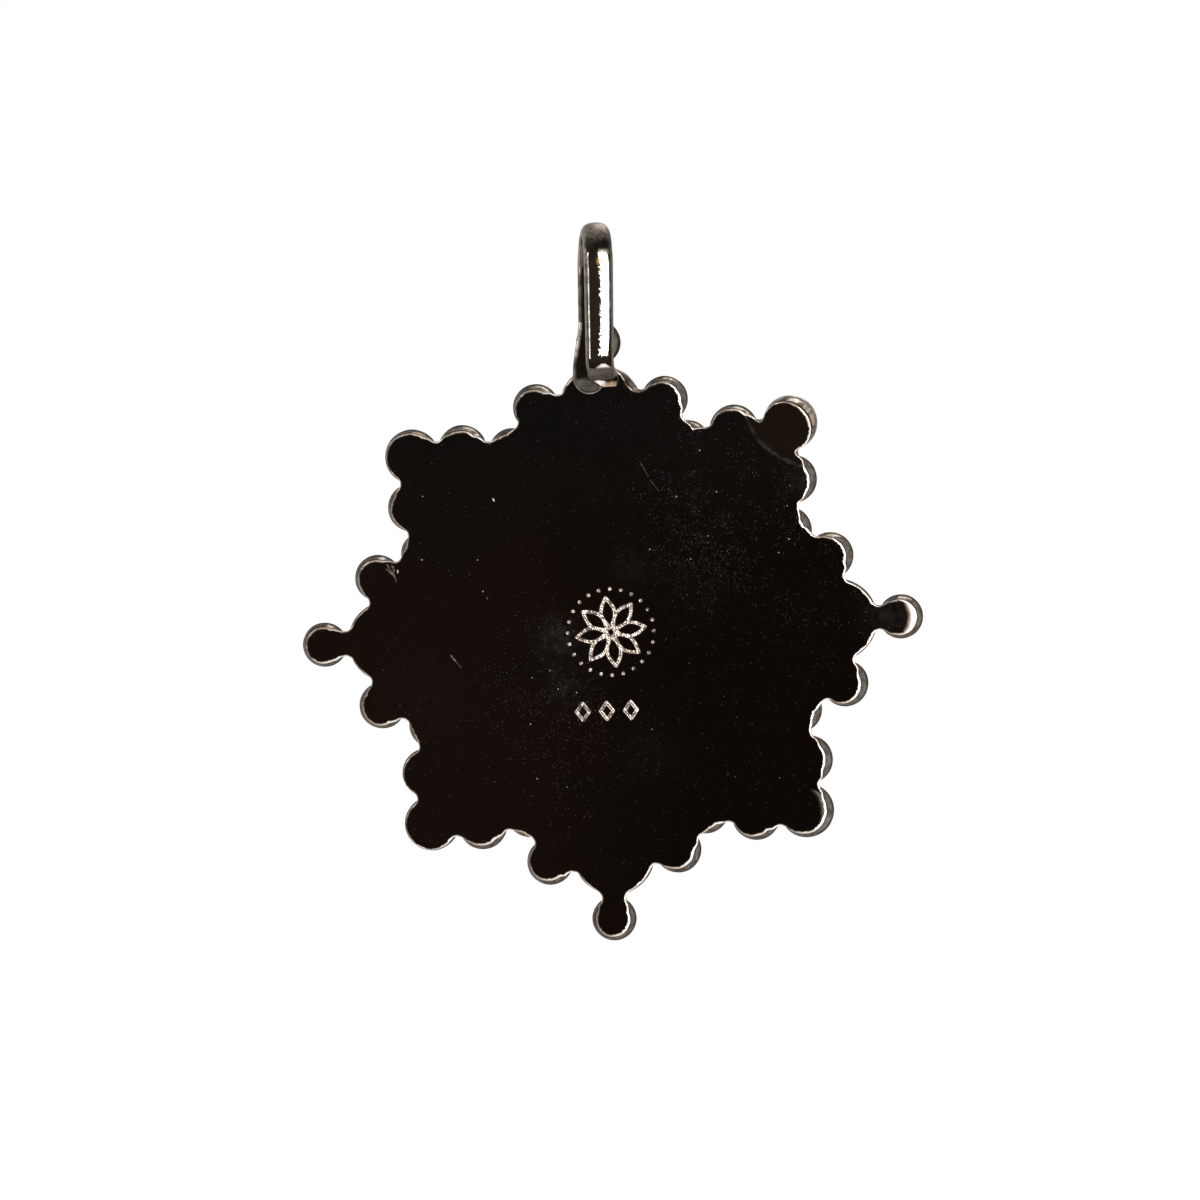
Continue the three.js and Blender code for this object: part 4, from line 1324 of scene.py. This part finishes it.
def strap_matt_and_warm_fringes(strap, depth, wear_and_painted_light):
    """Where the strap is matt, at its bend and its worn far edge, and where it is painted warm brown as
    colour fringes round its highlights: the lip's lower edge, the bend's triangle and the nick in the bright
    strip.
    """
    side, height, degrees = strap.side, strap.height, strap.degrees
    bend_run = TRIANGLE_RUNS[1]
    matt = smooth_step(bend_run, bend_run + 4, degrees) * (depth < 0)
    matt = np.maximum(matt, 0.5 * (degrees == 0) * (height < -5) * smooth_step(0.5, 0.8, wear_and_painted_light))
    on_tip = (depth > 1) & (degrees > 180)
    warm = 0.8 * smooth_step(0.11, 0.03, height - height[on_tip].min()) * on_tip
    warm += 0.6 * smooth_step(3, 0, abs(degrees - bend_run)) * (abs(side - TRIANGLE_SIDE) < 0.5)
    nick = np.hypot(side - NOTCH[0], height - NOTCH[1])
    warm += 0.5 * smooth_step(0.42, 0.2, nick) * (depth < -LOOP_RADIUS)
    return matt, warm


def solder_blob(centre, size, seed):
    """An uneven drop of solder."""
    shell = bmesh.new()
    bmesh.ops.create_icosphere(shell, subdivisions=4, radius=1)
    points = np.array([vertex.co for vertex in shell.verts])
    faces = [tuple(vertex.index for vertex in face.verts) for face in shell.faces]
    shell.free()
    points *= (1 + 0.22 * rough(points, 0.8, seed))[:, None]
    return points * np.asarray(size) + np.asarray(centre), faces


def bail_piece(material):
    near_leg = near_leg_stations()
    strap = Strap(far_leg_stations() + arch_stations() + near_leg + tip_stations(near_leg[-1]))
    wear_and_painted_light = strap_wear_and_painted_light(strap)
    count, size = len(wear_and_painted_light), strap.size
    cut = slice(-2 * size, None)
    strap.points[cut, 2] += TIP_CUT * smooth_step(-0.15, -1.05, strap.side[cut])
    faces = band_faces(count // size, size)
    ends = []
    for index, first in enumerate((0, count - size)):
        ends.append(strap.points[first:first + size].mean(axis=0))
        faces += fan_faces(count + index, first, size)
    points = np.vstack([strap.points, ends])
    points[:, 1] += 0.010 * rough(points * np.array([1, 1, 0.25]), 0.35, 62)
    matt, warm = strap_matt_and_warm_fringes(strap, points[:count, 1], wear_and_painted_light)
    tip = strap.tip
    place = np.array([tip.offset, tip.depth, tip.height]) + np.array(SOLDER_SHIFT)
    solder, solder_faces = solder_blob(place, SOLDER_SIZE, 63)
    faces += [tuple(len(points) + index for index in face) for face in solder_faces]
    rest = np.zeros(len(ends) + len(solder))
    attributes = {
        "wear_and_painted_light": np.concatenate([wear_and_painted_light, [0.5] * len(ends), [0.45] * len(solder)]),
        "matt": np.concatenate([matt, rest]),
        "warm": np.concatenate([warm, rest]),
    }
    new_piece("bail_strap", np.vstack([points, solder]) - MEDAL_ORIGIN, faces, material,
              ["bail"], attributes, sharp_angle=math.radians(50))


# Stage
FLOOR_HEIGHT = -97
FLOOR_RADIUS = 230
SEEN_WORLD = 1.0             # strength of the white world where it is seen
LIGHTING_WORLD = 0.75        # and of its soft light


def world():
    """White wherever the camera, a reflection or glass sees it, and soft grey light for the rest."""
    shader = Shader(bpy.data.worlds.new("studio"))
    bpy.context.scene.world = shader.owner
    path = shader.add("ShaderNodeLightPath").outputs
    seen = shader.math("MAXIMUM", path["Is Camera Ray"], path["Is Glossy Ray"])
    seen = shader.math("MAXIMUM", seen, path["Is Transmission Ray"])
    strength = shader.remap(seen, 0, 1, LIGHTING_WORLD, SEEN_WORLD)
    light = shader.add("ShaderNodeBackground", {"Color": (1, 1, 1, 1), "Strength": strength})
    shader.add("ShaderNodeOutputWorld", {"Surface": light.outputs[0]})


def floor():
    """A round pale floor under the hanging pendant, which fades into the white background."""
    shader = new_shader("pale_floor")
    pale = shader.add("ShaderNodeBsdfPrincipled", {"Base Color": (0.86, 0.86, 0.86, 1), "Roughness": 0.7})
    coordinates = shader.add("ShaderNodeTexCoord").outputs["Object"]
    reach = shader.add("ShaderNodeVectorMath", {0: coordinates}, operation="LENGTH").outputs["Value"]
    fade = shader.remap(reach, 0.35 * FLOOR_RADIUS * MM, 0.98 * FLOOR_RADIUS * MM, smooth=True)
    clear = shader.add("ShaderNodeBsdfTransparent")
    blend = shader.add("ShaderNodeMixShader", {0: fade, 1: pale.outputs[0], 2: clear.outputs[0]})
    shader.add("ShaderNodeOutputMaterial", {"Surface": blend.outputs[0]})
    mesh = bpy.data.meshes.new("floor")
    points, faces = turned([(0, 0), (FLOOR_RADIUS / 2, 0), (FLOOR_RADIUS, 0)], 96)
    mesh.from_pydata([(x * MM, z * MM, 0) for x, _, z in points], [], faces)
    mesh.materials.append(shader.owner)
    disc = linked("floor", mesh)
    disc.location = (MEDAL_ORIGIN[0] * MM, MEDAL_ORIGIN[1] * MM, FLOOR_HEIGHT * MM)


def softbox(name, azimuth, elevation, distance, size, power):
    """A soft lamp round the medal. Azimuth 0 is in front of the back, and 90 to its right, in degrees."""
    light = bpy.data.lights.new(name, "AREA")
    light.shape = "RECTANGLE"
    light.size, light.size_y = (side * MM for side in size)
    light.energy = power
    lamp = linked(name, light)
    direction = direction_at(math.radians(azimuth), math.radians(elevation))
    lamp.location = Vector(MEDAL_ORIGIN) * MM + direction * distance * MM
    lamp.rotation_mode = "QUATERNION"
    lamp.rotation_quaternion = direction.to_track_quat("Z", "Y")
    lamp.visible_camera = False


def lamps():
    softbox("strip_right", 17, 6, 500, (26, 340), 0.9)
    softbox("high_left", -55, 45, 500, (260, 260), 0.8)
    softbox("front_high", 160, 45, 520, (240, 240), 0.9)
    softbox("front_side", -120, 15, 520, (90, 380), 0.7)


def camera():
    forwards, right, up = camera_axes()
    aside = (MEDAL_PIXEL[0] - PHOTO_SIDE / 2) * PHOTO_SCALE
    above = (MEDAL_PIXEL[1] - PHOTO_SIDE / 2) * PHOTO_SCALE
    data = bpy.data.cameras.new("camera")
    data.sensor_width = SENSOR_WIDTH
    data.lens = SENSOR_WIDTH * CAMERA_DISTANCE / (PHOTO_SIDE * PHOTO_SCALE)
    data.clip_start = 0.01
    eye = linked("camera", data)
    place = Vector(MEDAL_ORIGIN) - forwards * CAMERA_DISTANCE - right * aside + up * above
    rotation = Matrix((right, up, -forwards)).transposed().to_4x4()
    eye.matrix_world = Matrix.Translation(place * MM) @ rotation
    bpy.context.scene.camera = eye


bpy.context.scene.view_settings.view_transform = "Standard"
camera()
world()
floor()
lamps()
plate_piece()
domes()
ring_material = aged_silver("ring_silver_polished", (0.47, 0.45, 0.41), (0.03, 0.024, 0.019), 0.10, 0.18)
rope_piece(ring_material)
bezel_piece(ring_material)
medal_piece(aged_silver("medal_silver_aged", (0.45, 0.42, 0.38), (0.028, 0.022, 0.018), 0.10, 0.24))
bail_piece(aged_silver("bail_silver_filed", (0.42, 0.37, 0.32), (0.010, 0.007, 0.005), 0.06, 0.14,
                       (5, 5, 0.5), dull=0.3))
